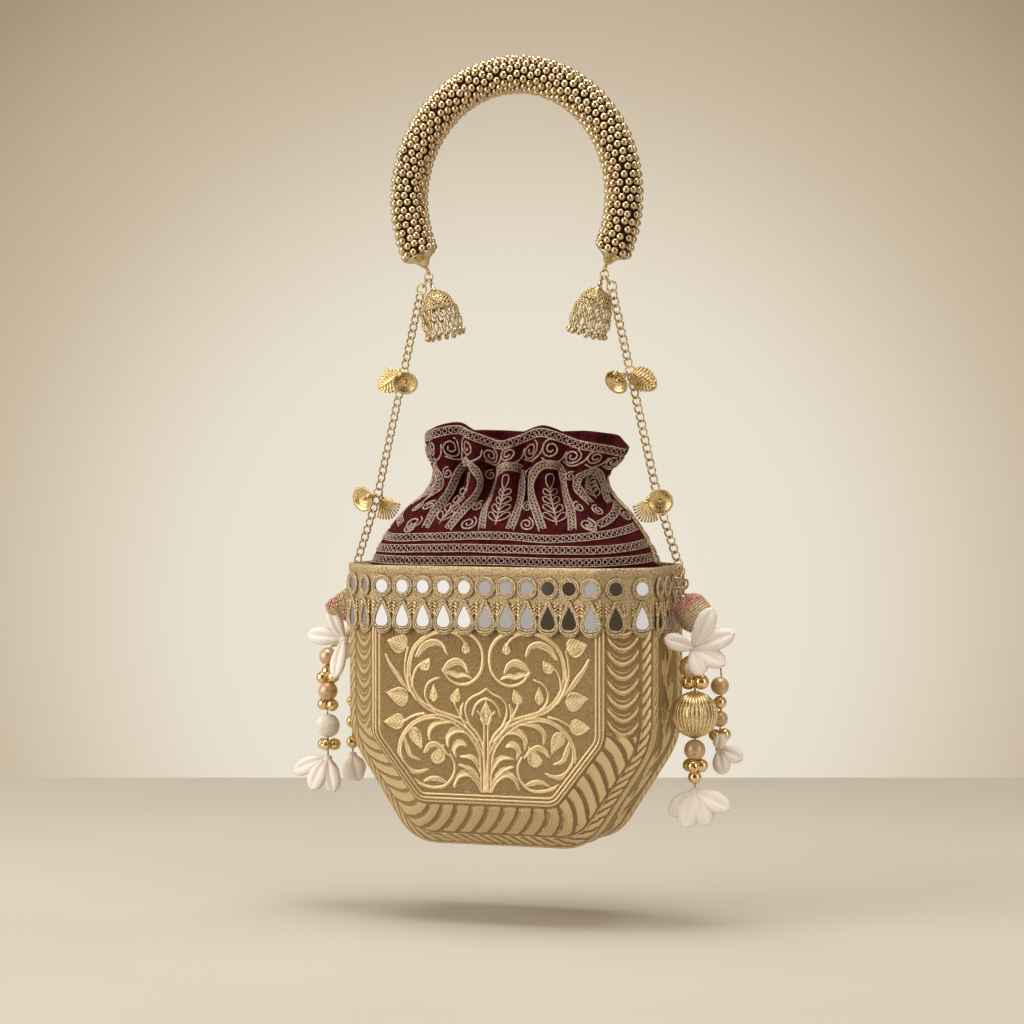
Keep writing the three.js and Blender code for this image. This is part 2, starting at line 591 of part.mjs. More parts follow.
function makeTassel({ name, side, main, second, turn, ...parts }) {
  const group = new THREE.Group();
  const add = (part, shape, material) => group.add(piece(`${name}_${part}`, shape, material));
  const put = (geometry, { x, y }, z) => sided(geometry.translate(x, y, z), side);
  const leg = { x: ANCHOR.x + 0.5, y: 0 };
  const loopZ = ANCHOR.z - LOOP.drop + LOOP.wire + END_RING.wire + GAP - END_RING.radius;
  const bead = { x: 97, y: 0 };

  const hanger = tube([[leg.x, 0, loopZ - END_RING.radius], [(leg.x + bead.x) / 2, 0, loopZ - 3],
    [bead.x, 0, TASSEL_TOP.beadZ + 8]], THREAD, 5, 3);
  add("tassel_bead", join([
    sided(ring(END_RING, "x").translate(leg.x, 0, loopZ), side),
    sided(hanger, side),
    put(tasselBead(turn), bead, TASSEL_TOP.beadZ),
  ]), ZARI);

  const spread = [-115, -60, 0, 60, 115];
  const topPetals = spread.map((angle, i) => petal(15.5, 11, i % 2 ? 20 : -12, angle));
  const topFlower = flower([bead.x, 0, TASSEL_TOP.flowerZ], topPetals, 6.4);
  add("tassel_top_flower", sided(geometryOf(topFlower), side), WHITE_CLOTH);

  const strand = (place, beads, pearls, high, low) => join([
    ...beads.map(([x, y, z, d]) => sided(smallBall([place.x + x, place.y + y, z], d), side)),
    ...pearls.map(([x, y, z, d]) => sided(ball([place.x + x, place.y + y, z], d), side)),
    put(turned([[0, low], [THREAD, low], [THREAD, high], [0, high]], 5), place, 0),
  ]);
  const threadTop = TASSEL_TOP.flowerZ - 4.5;
  add("main_strand", strand(main, parts.shiny, parts.pearls, threadTop, parts.flowerZ + 3.4), PEARL);
  const { z, diameter, flutes } = parts.ball;
  add("tassel_ball", put(boredBall(diameter, flutes), main, z), flutes ? GOLD : WHITE_CLOTH);
  add("second_strand", strand(second, parts.secondBeads, [], threadTop, parts.secondFlowerZ + 3.4), PEARL);

  const skirt = (count, length, width) =>
    Array.from({ length: count }, (_, i) => petal(length, width, i % 2 ? 62 : 42, (360 * i) / count + 20));
  const blossom = (part, place, height, petals) => {
    const shape = flower([place.x, place.y, height], petals, 5.6);
    add(part, sided(geometryOf(shape), side), WHITE_CLOTH);
  };
  blossom("bottom_flower", main, parts.flowerZ, skirt(5, 18, 11.5));
  blossom("second_flower", second, parts.secondFlowerZ, skirt(4, 13, 8));
  return group;
}

// ---- assembly ----
const bag = new THREE.Group();
bag.add(makeHandle(), makeBox(), makeTrim(), makePouch());
for (const [name, side] of [["left", -1], ["right", 1]]) {
  bag.add(makeHanger(name, side), makeSideLoop(name, side), makePiping(name, side));
}
for (const tassel of TASSELS) bag.add(makeTassel(tassel));

export default bag;
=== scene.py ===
"""Looks of the potli bag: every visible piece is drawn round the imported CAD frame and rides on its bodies.

Shapes are made in millimetres as (points, triangles) and turned into metres when they become a mesh.
Everything that comes in pairs is drawn at +X and mirrored for the left side. -Y is the front.
"""

import math

import bpy
import numpy as np
from mathutils import Matrix, Vector

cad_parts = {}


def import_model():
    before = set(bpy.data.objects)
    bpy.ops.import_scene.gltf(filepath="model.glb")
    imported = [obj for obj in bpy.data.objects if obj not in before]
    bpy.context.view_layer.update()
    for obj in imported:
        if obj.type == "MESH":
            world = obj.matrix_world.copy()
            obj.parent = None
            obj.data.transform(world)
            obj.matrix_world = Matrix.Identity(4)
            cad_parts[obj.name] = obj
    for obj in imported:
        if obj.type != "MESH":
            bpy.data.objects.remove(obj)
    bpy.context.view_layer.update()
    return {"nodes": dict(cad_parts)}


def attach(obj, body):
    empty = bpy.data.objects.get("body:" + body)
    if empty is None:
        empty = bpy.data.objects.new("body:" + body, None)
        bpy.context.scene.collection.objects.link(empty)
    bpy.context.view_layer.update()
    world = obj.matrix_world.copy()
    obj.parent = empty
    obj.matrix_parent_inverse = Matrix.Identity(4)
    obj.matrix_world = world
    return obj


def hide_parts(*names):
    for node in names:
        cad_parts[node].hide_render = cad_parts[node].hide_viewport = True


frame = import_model()

MM = 0.001
TAU = 2 * math.pi
SIDES = {"left": -1, "right": 1}

# ---- driving dimensions, millimetres and degrees, the same as the CAD's ----
HANDLE = {"half_width": 59.5, "half_height": 64, "centre_z": -53.7, "end_angle": 27}
NET = {"bead": 2.12, "centre": 8.2, "around": 12, "rings": 67}  # radius of a bead, of the ring of centres
CAP = {"length": 6.7, "base": 8.8, "tip": 1.5}
UPPER_RING = {"centre": (48.669, -94.228), "radius": 2.3, "wire": 0.45}
LINK_HOOK = (49.955, -96.135)
JHUMKA_HOOK = (47.383, -96.135)
OVAL_LINK = {"radius": 1.6, "wire": 0.4, "half_length": 2.5, "lean": 30}
CHAIN_RING = {"centre": (52.75, -100.52), "radius": 2.6, "wire": 0.55}
CHARM_RINGS = {"upper": (62.76, -143.66), "lower": (77.46, -207.66)}
CHARM_RING = {"radius": 2.4, "wire": 0.45}
BENDS = {"upper": (63.3, -146.0), "lower": (78.0, -210.0), "anchor": (91.0, -250.5)}
CHARM_HOOKS = {  # x, z and lean
    "bell_upper": (60.87, -145.14, -28),
    "leaf_upper": (64.65, -145.14, 58),
    "leaf_lower": (75.57, -209.14, -28),
    "bell_lower": (79.35, -209.14, 58),
}
END_RING = {"radius": 1.6, "wire": 0.45, "x": 91.0, "z": -249.95}
CHARM_EYE = {"radius": 1.2, "wire": 0.35, "drop": 0.3}
LINK = {"pitch": 4.0, "half_width": 1.85, "wire": 0.52, "twist": 0.55}
JHUMKA = {"lean": -16, "radius": 9.0, "top": -1.8, "rim": -15.0}
RIM_Z = -244.0
OUTER = {"half": 83, "top": RIM_Z, "shoulder": -334, "base": 48, "bottom": -388, "round": 14}
FACE = {"half": 62, "top": RIM_Z, "shoulder": -332, "base": 37, "bottom": -364, "round": 4}
FACE_Y, GUSSET_Y = 43.0, 24.0
EMBOSSED = {"face": 0.5, "bevel": 0.85, "side_wall": 0.9}  # depth of the relief
TASSEL_HOOK = {"x": 91.5, "z": -256.05, "radius": 1.6, "wire": 0.45, "tie": 0.8}
SIDE_LOOP = {"wall": 86.3, "far": 94.0, "high": -250.5, "low": -255.5, "bend": 1.6, "wire": 0.6}
TRIM = {
    "round_z": -254.5, "drop_z": -270.0, "pair_width": 11.2, "mirrors": {"bevel": 2, "side": 4, "face": 11},
}
MIRROR_LEANS = {  # degrees each cut mirror is turned in its bezel, so that neighbours catch different lights
    "face": (-6.3, -5.4, -4.5, -3.6, -3.0, -1.6, -0.9, -0.2, 1.3, 3.4, -0.6),
    "bevel": (-6, 3),
    "side": (0, 0, 0, 0),
}
POUCH_RINGS = (  # height, half width, half depth, shift in x, depth of the folds
    (-262.0, 77.0, 38.0, 0.0, 0.0),
    (-252.0, 77.5, 38.5, 0.0, 0.0),
    (-242.0, 76.0, 37.5, 0.0, 0.2),
    (-235.0, 73.4, 35.0, 0.0, 0.7),
    (-228.5, 69.8, 31.5, 0.0, 1.2),
    (-217.0, 60.8, 25.0, 0.5, 2.2),
    (-208.0, 50.4, 20.0, 1.5, 4.0),
    (-199.0, 46.0, 18.4, 2.5, 4.8),
    (-192.0, 49.0, 19.6, 3.4, 4.4),
    (-186.0, 52.6, 21.0, 4.4, 3.0),
    (-177.0, 54.6, 22.6, 6.0, 2.6),
)
RUFFLE = (  # how far the edge rises over its mean height, by the place round it
    (-1.0, 0.0), (-0.72, 3.0), (-0.45, 6.0), (-0.08, -3.0), (0.25, 4.6), (0.55, -2.4), (0.8, -5.5),
    (1.0, -7.2), (1.3, -1.0), (1.6, 1.5), (2.0, 1.0), (2.5, 2.0), (3.0, 0.0),
)
FOLDS = 12
TASSELS = {  # (x, y) of each strand; x and y off the strand, height and diameter of each bead
    "left": {
        "main": (105.5, -2.5),
        "second": (98, 13.5),
        "pearls": ((0, 0, -295, 9.4), (0, 0, -313.5, 10.4)),
        "shiny": (
            (0, 0, -303, 7), (3.2, 0, -306.5, 6.6), (-3.2, 0, -306, 6.6), (2.6, 0, -320.5, 6.6),
            (-2.6, 0, -321, 6.6), (0, -3, -342, 6.6), (3.2, 1.5, -342, 6.6), (-3.2, 1.5, -342, 6.6),
        ),
        "ball": (-332, 12.6),
        "flower": -349.5,
        "second_beads": ((0, 0, -320, 6.4), (0, 0, -331, 7.2), (0, 0, -342, 7)),
        "second_flower": -349,
    },
    "right": {
        "main": (98.5, -2),
        "second": (107.5, 12.5),
        "pearls": ((-2, 0, -295.5, 12), (0, 0, -338, 11)),
        "shiny": (
            (-3.4, 0, -303.2, 8), (3.4, 0, -303, 8), (0, -3, -346, 7), (3.2, 1, -346, 7),
            (-3.2, 1, -346, 7), (0, 0, -352, 7),
        ),
        "ball": (-319.8, 24),
        "flower": -359,
        "second_beads": (
            (0, 0, -306, 9.4), (0, 0, -314.5, 7), (0, 0, -323, 8.4), (-2.6, 0, -331.5, 6.6),
            (2.6, 0, -331, 6.6),
        ),
        "second_flower": -338.5,
    },
}
LARGEST_SHINY = 8  # diameter over which a bead of the second strand is a pearl
FLOWERS = {  # direction x, y, z, length and width of each petal
    "top": {
        "left": ((0.97, -0.1, 0.12, 21, 10), (0.42, -0.1, 0.9, 19, 9), (-0.05, -0.66, -0.8, 25, 9),
                 (0.7, 0.5, -0.1, 16, 9), (0.2, 0.7, 0.5, 14, 8.5), (0.3, 0.6, -0.7, 15, 8.5)),
        "right": ((-0.5, -0.82, 0.28, 20, 9.5), (0.5, -0.25, 0.85, 25, 11.5), (0.94, -0.2, 0.34, 25, 11.5),
                  (0.85, -0.3, -0.34, 21, 11), (0.4, -0.5, -0.72, 17, 11), (0.5, 0.7, 0.3, 16, 10),
                  (0.4, 0.75, -0.4, 16, 10)),
    },
    "bottom": {
        "left": ((0.9, -0.1, -0.34, 21, 10), (0.35, -0.4, -0.85, 19, 11.5), (-0.3, -0.3, -0.9, 19, 10.5),
                 (0.1, 0.55, -0.8, 17, 10), (0.7, 0.5, -0.6, 16, 9)),
        "right": ((-0.66, -0.3, -0.68, 18, 10.5), (-0.1, -0.45, -0.88, 20, 12.5), (0.45, -0.35, -0.8, 20, 12),
                  (0.88, -0.2, -0.36, 22, 11), (0.3, 0.6, -0.7, 17, 10), (-0.4, 0.6, -0.7, 16, 9)),
    },
    "second": {
        "left": ((-0.35, -0.3, -0.85, 15, 9), (0.3, 0.25, -0.9, 15, 9), (-0.2, 0.6, -0.8, 13, 8)),
        "right": ((0.1, -0.3, 0.5, 9, 7.5), (0.85, -0.2, -0.3, 14, 9), (0.25, -0.4, -0.85, 14, 9.5),
                  (0.4, 0.65, -0.5, 13, 8)),
    },
}
BEAD_X, BEAD_Z, TOP_FLOWER_Z = 97.0, -268.0, -286.0
VIEW = {
    "azimuth": 20.2, "elevation": 1.6, "distance": 1.7, "target_z": -0.2172, "lens": 114.6, "shift": -0.0033,
}


# ---- shapes ----
def grid(rows, columns, wrap=False):
    """Triangles of a grid of points; wrap joins the last column to the first."""
    across = columns if wrap else columns - 1
    r, c = np.meshgrid(np.arange(rows - 1), np.arange(across), indexing="ij")
    a = (r * columns + c).ravel()
    b = (r * columns + (c + 1) % columns).ravel()
    return np.concatenate([np.c_[a, b, b + columns], np.c_[a, b + columns, a + columns]])


def skin_of(points, wrap=False):
    """Shape from rows and columns of points."""
    return points.reshape(-1, 3), grid(*points.shape[:2], wrap)


def merge(shapes):
    """One shape of several, each a pair of points and triangles."""
    points, faces, start = [], [], 0
    for p, f in shapes:
        points.append(p)
        faces.append(f + start)
        start += len(p)
    return np.concatenate(points), np.concatenate(faces)


def outwards(shape):
    """Turns a closed shape's faces so that they look out."""
    p, f = shape
    a, b, c = p[f[:, 0]], p[f[:, 1]], p[f[:, 2]]
    return (p, f[:, ::-1]) if (a * np.cross(b, c)).sum() < 0 else shape


def moved(shape, matrix):
    m = np.array(matrix)
    points, faces = shape
    if np.linalg.det(m[:3, :3]) < 0:
        faces = faces[:, ::-1]
    return points @ m[:3, :3].T + m[:3, 3], faces


def shift(x, y, z):
    return Matrix.Translation((x, y, z))


def turn(angle, axis):
    return Matrix.Rotation(math.radians(angle), 4, axis)


def hung(x, z, lean):
    """Places a shape that hangs along -Z from a point, leaning outwards."""
    return shift(x, 0, z) @ turn(-lean, "Y")


def sided(shapes, side, place=Matrix.Identity(4)):
    """Shapes drawn for +X, put in their place and mirrored for the left side."""
    mirror = Matrix.Scale(side, 4, (1, 0, 0))
    return [moved(shape, mirror @ place) for shape in shapes]


def around(shape, count, place=Matrix.Identity(4), start=0.0):
    """Copies of a shape at equal steps about Z; start is the first one's share of a step."""
    return [moved(shape, turn(360 * (k + start) / count, "Z") @ place) for k in range(count)]


def unit(v):
    return v / np.maximum(np.linalg.norm(v, axis=-1, keepdims=True), 1e-9)


def walk(path):
    """Length along a path at each of its points."""
    return np.concatenate([[0], np.cumsum(np.linalg.norm(np.diff(path, axis=0), axis=1))])


def ridge(distance, width):
    return np.exp(-((distance / width) ** 2))


def hump(t):
    """1 in the middle and down to 0 where t is -1 or 1."""
    return np.clip(1 - t**2, 0, 1)


def circle(count):
    return np.arange(count) * TAU / count


def lathe(profile, segments=20):
    """Solid of revolution about Z from (radius, height) pairs."""
    profile = np.array(profile, float)
    angle = np.arange(segments) * TAU / segments
    x = profile[:, :1] * np.cos(angle)
    y = profile[:, :1] * np.sin(angle)
    z = np.repeat(profile[:, 1:], segments, axis=1)
    return outwards(skin_of(np.stack([x, y, z], -1), wrap=True))


def tube(path, radius, sides=8, closed=False, normals=None, flat=1.0):
    """Round bar along a path. flat under 1 presses it towards the surface that normals belong to."""
    path = np.asarray(path, float)
    radius = np.broadcast_to(np.asarray(radius, float), len(path))
    if closed:
        tangent = np.roll(path, -1, 0) - np.roll(path, 1, 0)
    else:
        tangent = np.gradient(path, axis=0)
    tangent = unit(tangent)
    if normals is None:
        normals = np.linalg.svd(path - path.mean(0))[2][2][None]
    across = unit(np.cross(normals, tangent))
    up = unit(np.cross(tangent, across)) * flat
    if not closed:
        ends = np.zeros(len(path) + 2)
        ends[1:-1] = radius
        path, across, up = (np.concatenate([a[:1], a, a[-1:]]) for a in (path, across, up))
        radius = ends
    angle = np.arange(sides) * TAU / sides
    rings = (np.cos(angle)[None, :, None] * across[:, None] + np.sin(angle)[None, :, None] * up[:, None])
    points = path[:, None] + rings * radius[:, None, None]
    if closed:
        points = np.concatenate([points, points[:1]])
    places, faces = skin_of(points, wrap=True)
    return places, faces[:, ::-1]


def ring(radius, wire, hole="y", stretch=1.0, steps=20, sides=8):
    """Wire ring whose hole looks along hole; stretch lengthens it along Z."""
    a = np.arange(steps) * TAU / steps
    across, up, zero = radius * np.cos(a), radius * stretch * np.sin(a), np.zeros(steps)
    path = {"x": (zero, across, up), "y": (across, zero, up), "z": (across, up, zero)}[hole]
    return tube(np.stack(path, -1), wire, sides, closed=True)


def ball(radius, segments=16, rows=9):
    a = np.linspace(0, math.pi, rows)
    return lathe(np.c_[radius * np.sin(a), radius * np.cos(a)], segments)


def bored(radius, bore, segments=24, rows=14):
    """Bead with a threading hole along Z."""
    edge = math.asin(bore / radius)
    a = np.linspace(edge, math.pi - edge, rows)
    rim = radius * math.cos(edge)
    inside = (bore * 0.8, rim - 0.3 * radius)
    outline = [inside, (bore * 0.95, rim), *zip(radius * np.sin(a), radius * np.cos(a)), (bore * 0.95, -rim)]
    return lathe(outline + [(bore * 0.8, 0.3 * radius - rim), inside], segments)


def closed_plate(front, back):
    """Thin solid between two grids of points that share their edges' places."""
    both = np.concatenate([front, back[:, ::-1]], axis=1)
    return outwards(skin_of(both, wrap=True))


def rounded_corner(before, corner, after, radius, steps):
    """Points of a curve that cuts a corner, starting at the given distance from it on each side."""
    a = corner + unit(before - corner) * radius
    b = corner + unit(after - corner) * radius
    t = np.linspace(0, 1, steps)[:, None]
    return (1 - t) ** 2 * a + 2 * t * (1 - t) * corner + t**2 * b


def smooth_path(points, step=1.0, closed=False):
    """Catmull-Rom curve through points, sampled at about the given step."""
    p = np.asarray(points, float)
    if closed:
        p = np.concatenate([p[-1:], p, p[:2]])
    else:
        p = np.concatenate([2 * p[:1] - p[1:2], p, 2 * p[-1:] - p[-2:-1]])
    out = []
    for a, b, c, d in zip(p, p[1:], p[2:], p[3:]):
        count = max(2, int(np.linalg.norm(c - b) / step))
        t = (np.arange(count) / count)[:, None]
        square, cube = 2 * a - 5 * b + 4 * c - d, 3 * b - a - 3 * c + d
        out.append(0.5 * (2 * b + (c - a) * t + square * t**2 + cube * t**3))
    if not closed:
        out.append(p[-2:-1])
    return np.concatenate(out)


def welded(shape):
    """One point where several meet, no face without area, and which of the old points each new one was."""
    points, faces = shape
    places = np.round(points * 2000).astype(np.int64)
    _, first, back = np.unique(places, axis=0, return_index=True, return_inverse=True)
    faces = back.reshape(-1)[faces]
    good = (faces[:, 0] != faces[:, 1]) & (faces[:, 1] != faces[:, 2]) & (faces[:, 2] != faces[:, 0])
    return points[first], faces[good], first


# ---- pieces ----
def piece(name, shapes, material, body, replaces=(), values=None):
    """Mesh object from shapes. values is a number for each point, read by the material as "relief": the
    embossed sheet's tone, with its painted shade and painted highlight.
    """
    points, faces, first = welded(merge(shapes))
    mesh = bpy.data.meshes.new(name)
    mesh.vertices.add(len(points))
    mesh.vertices.foreach_set("co", (points * MM).astype(np.float32).ravel())
    mesh.loops.add(3 * len(faces))
    mesh.loops.foreach_set("vertex_index", faces.astype(np.int32).ravel())
    mesh.polygons.add(len(faces))
    mesh.polygons.foreach_set("loop_start", np.arange(0, 3 * len(faces), 3, dtype=np.int32))
    mesh.polygons.foreach_set("use_smooth", np.ones(len(faces), bool))
    mesh.update(calc_edges=True)
    mesh.validate()
    if values is not None:
        relief = mesh.attributes.new("relief", "FLOAT", "POINT")
        relief.data.foreach_set("value", np.asarray(values, np.float32)[first])
    mesh.materials.append(material)
    made = in_scene(name, mesh)
    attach(made, body)
    if replaces:
        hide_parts(*replaces)
    return made


def in_scene(name, data):
    made = bpy.data.objects.new(name, data)
    bpy.context.scene.collection.objects.link(made)
    return made


# ---- materials ----
def surface(name, colour, roughness, metallic=0.0, **sockets):
    made = bpy.data.materials.new(name)
    made.use_nodes = True
    shader = made.node_tree.nodes["Principled BSDF"]
    shader.inputs["Base Color"].default_value = (*colour, 1)
    shader.inputs["Roughness"].default_value = roughness
    shader.inputs["Metallic"].default_value = metallic
    for socket, value in sockets.items():
        shader.inputs[socket.replace("_", " ")].default_value = value
    return made


def node(material, kind, **settings):
    made = material.node_tree.nodes.new(kind)
    for key, value in settings.items():
        if key in made.inputs:
            made.inputs[key].default_value = value
        else:
            setattr(made, key, value)
    return made


def join(material, output, socket):
    material.node_tree.links.new(output, socket)


def shader_of(material):
    return material.node_tree.nodes["Principled BSDF"]


def grain(material, scale, detail=3.0, kind="ShaderNodeTexNoise"):
    """Texture that stays on the object as it moves."""
    place = node(material, "ShaderNodeTexCoord")
    made = node(material, kind, Scale=scale)
    if "Detail" in made.inputs:
        made.inputs["Detail"].default_value = detail
    join(material, place.outputs["Object"], made.inputs["Vector"])
    return made


def ramp(material, value, stops):
    """Colour for a value, from (position, colour) stops."""
    made = node(material, "ShaderNodeValToRGB")
    elements = made.color_ramp.elements
    while len(elements) < len(stops):
        elements.new(0.5)
    for element, (position, colour) in zip(elements, stops):
        element.position = position
        element.color = (*colour, 1)
    join(material, value, made.inputs["Fac"])
    return made.outputs["Color"]


def tint(material, value, colours, low=0.3, high=0.7):
    """Colours the surface from a value, dark to light."""
    places = np.linspace(low, high, len(colours))
    colour = ramp(material, value, list(zip(places, colours)))
    join(material, colour, shader_of(material).inputs["Base Color"])


def roughen(material, value, low, high):
    scale = node(material, "ShaderNodeMapRange", **{"To Min": low, "To Max": high})
    join(material, value, scale.inputs["Value"])
    join(material, scale.outputs["Result"], shader_of(material).inputs["Roughness"])


def bump(material, height, strength, distance):
    made = node(material, "ShaderNodeBump", Strength=strength, Distance=distance)
    join(material, height, made.inputs["Height"])
    join(material, made.outputs["Normal"], shader_of(material).inputs["Normal"])


def times(material, value, factor, plus=None):
    """value * factor + plus; factor is a number or an output."""
    made = node(material, "ShaderNodeMath", operation="MULTIPLY" if plus is None else "MULTIPLY_ADD")
    join(material, value, made.inputs[0])
    if isinstance(factor, float):
        made.inputs[1].default_value = factor
    else:
        join(material, factor, made.inputs[1])
    if plus is not None:
        join(material, plus, made.inputs[2])
    return made.outputs[0]


def metal(name, dark, light, roughness, grain_size=900, dents=0.08):
    made = surface(name, light, roughness, 1.0)
    mottle = grain(made, grain_size)
    tint(made, mottle.outputs["Fac"], (dark, light))
    roughen(made, mottle.outputs["Fac"], roughness * 0.8, roughness * 1.3)
    bump(made, grain(made, grain_size * 1.7).outputs["Fac"], dents, 0.0002)
    return made


def sheet_metal():
    """Embossed sheet: pitted ground, darker in the hollows round the relief (patina and painted shade) and
    lighter on its raised tops (painted highlight).
    """
    made = surface("embossed sheet", (0.6, 0.45, 0.26), 0.36, 0.86)
    # the "relief" attribute is the sheet's tone, holding painted shade in the hollows round the relief and
    # painted highlight on its raised tops
    height = node(made, "ShaderNodeAttribute", attribute_name="relief").outputs["Fac"]
    wear = grain(made, 140, 5.0)
    pits = grain(made, 1050, kind="ShaderNodeTexVoronoi")
    low_ground = {"From Min": 0.04, "From Max": 0.2, "To Min": 1.0, "To Max": 0.06}
    ground = node(made, "ShaderNodeMapRange", **low_ground)
    join(made, height, ground.inputs["Value"])
    dots = times(made, pits.outputs["Distance"], ground.outputs["Result"])
    # tone: random wear and pits, plus the painted shade and painted highlight that the attribute carries
    tone_with_painted_shading = times(made, wear.outputs["Fac"], 0.5, times(made, dots, -0.5, height))
    tint(made, tone_with_painted_shading, ((0.46, 0.32, 0.16), (0.8, 0.61, 0.36), (0.8, 0.62, 0.36)), -0.4, 0.5)
    roughen(made, ground.outputs["Result"], 0.36, 0.64)
    bump(made, dots, 0.9, 0.0012)
    return made


def cloth(name, dark, light, scale, roughness=0.85, strength=0.4, **sockets):
    made = surface(name, light, roughness, **sockets)
    fibres = grain(made, scale, 6.0)
    tint(made, grain(made, scale * 0.12, 4.0).outputs["Fac"], (dark, light))
    bump(made, fibres.outputs["Fac"], strength, 0.0003)
    return made


def zari(name, dark, light, scale, metallic):
    """Fine metallic thread in short strokes, each painted lighter in its middle and darker at its edges
    (painted glint).
    """
    made = surface(name, light, 0.42, metallic)
    # painted glint: each stroke's colour is lighter in its middle and darker at its edges
    strokes_and_painted_glint = grain(made, scale, 0.0, "ShaderNodeTexVoronoi").outputs["Distance"]
    tint(made, strokes_and_painted_glint, (light, dark), 0.1, 0.75)
    bump(made, strokes_and_painted_glint, 0.7, 0.0005)
    return made


def glitter(name, dark, light, scale=1300):
    made = surface(name, light, 0.3, 0.8)
    flakes = grain(made, scale, kind="ShaderNodeTexVoronoi")
    tint(made, flakes.outputs["Color"], (dark, light), 0.2, 0.8)
    bump(made, flakes.outputs["Distance"], 1.0, 0.0006)
    return made


BEADS = metal("bead gold", (0.54, 0.42, 0.26), (0.76, 0.62, 0.42), 0.19, 500, 0.02)
GOLD = metal("charm gold", (0.58, 0.42, 0.19), (0.88, 0.7, 0.38), 0.3, 800, 0.1)
PALE_GOLD = metal("chain gold", (0.5, 0.39, 0.21), (0.8, 0.67, 0.42), 0.24, 900, 0.06)
SHINY = metal("shiny bead", (0.76, 0.56, 0.27), (0.9, 0.7, 0.38), 0.07, 300, 0.01)
MELON = metal("melon bead gold", (0.66, 0.5, 0.28), (0.96, 0.82, 0.52), 0.26, 1400, 0.15)
SHEET_GOLD = sheet_metal()
TAPE = zari("trim tape", (0.38, 0.27, 0.14), (0.82, 0.66, 0.42), 1300, 0.5)
BEZEL = zari("bezel cord", (0.42, 0.31, 0.17), (0.9, 0.76, 0.52), 1500, 0.5)
RIBS = metal("trim ribs", (0.5, 0.37, 0.19), (0.9, 0.73, 0.46), 0.34, 900, 0.3)
THREAD = zari("pouch zari", (0.28, 0.19, 0.15), (0.87, 0.7, 0.61), 1500, 0.12)
PIPING = zari("piping cord", (0.42, 0.3, 0.14), (0.88, 0.74, 0.5), 900, 0.6)
COIL = zari("coiled cord", (0.45, 0.33, 0.18), (0.95, 0.81, 0.57), 1500, 0.4)
VELVET = cloth(
    "maroon velvet", (0.022, 0.0012, 0.0022), (0.09, 0.005, 0.01), 2600, 0.95, 0.6,
    Sheen_Weight=0.08, Sheen_Roughness=0.3, Sheen_Tint=(0.9, 0.12, 0.15, 1), Specular_IOR_Level=0.15,
)
CORD = cloth("core cord", (0.03, 0.014, 0.008), (0.07, 0.035, 0.02), 1500)
PETAL = cloth("petal cloth", (0.86, 0.8, 0.75), (0.93, 0.88, 0.84), 900, 0.55, 0.12, Sheen_Weight=0.3)
PEARL = surface("pearl", (0.68, 0.46, 0.25), 0.34, 0.35, Coat_Weight=0.6, Coat_Roughness=0.25)
tint(PEARL, grain(PEARL, 120, 2.0).outputs["Fac"], ((0.56, 0.38, 0.21), (0.7, 0.5, 0.31)))
FLOCK = cloth("flock", (0.76, 0.71, 0.66), (0.92, 0.89, 0.85), 3200, 0.9, 0.8)
GLITTER = glitter("glitter cloth", (0.3, 0.2, 0.11), (0.85, 0.68, 0.46))
ROSE = glitter("rose seed beads", (0.42, 0.15, 0.14), (0.9, 0.5, 0.46), 1100)
MIRROR = surface("cut mirror", (0.3, 0.3, 0.315), 0.04, 1.0)
roughen(MIRROR, grain(MIRROR, 60, 2.0).outputs["Fac"], 0.03, 0.09)


# ---- handle ----
def handle_at(t):
    """Point, direction and outward normal of the handle's centreline, t from 0 at the left end to 1."""
    end = HANDLE["end_angle"]
    a = np.radians(180 + end - np.asarray(t, float) * (180 + 2 * end))
    w, h = HANDLE["half_width"], HANDLE["half_height"]
    zero = np.zeros_like(a)
    point = np.stack([w * np.cos(a), zero, HANDLE["centre_z"] + h * np.sin(a)], -1)
    ahead = unit(np.stack([w * np.sin(a), zero, -h * np.cos(a)], -1))
    out = np.stack([-ahead[..., 2], zero, ahead[..., 0]], -1)
    return point, ahead, out


def bead_net():
    """Rings of beads round the handle, every second one half a bead further, each bead a little off."""
    rng = np.random.default_rng(4)
    fine = np.linspace(0, 1, 2000)
    walked = walk(handle_at(fine)[0])
    margin = NET["bead"] * 0.8
    stops = np.linspace(margin, walked[-1] - margin, NET["rings"])
    point, ahead, out = handle_at(np.interp(stops, walked, fine))
    side = np.array([0, 1.0, 0])
    drift = np.cumsum(rng.normal(0, 0.018, NET["rings"]))
    bead = ball(NET["bead"], 12, 8)
    beads = []
    for i in range(NET["rings"]):
        for k in range(NET["around"]):
            a = TAU * (k + 0.5 * (i % 2)) / NET["around"] + drift[i] + rng.normal(0, 0.035)
            centre = point[i] + NET["centre"] * (math.cos(a) * out[i] + math.sin(a) * side)
            centre = centre + ahead[i] * rng.normal(0, 0.16)
            beads.append(moved(bead, shift(*centre) @ Matrix.Scale(rng.uniform(0.96, 1.03), 4)))
    piece("bead_net", beads, BEADS, "handle", ["handle_bead_net"])


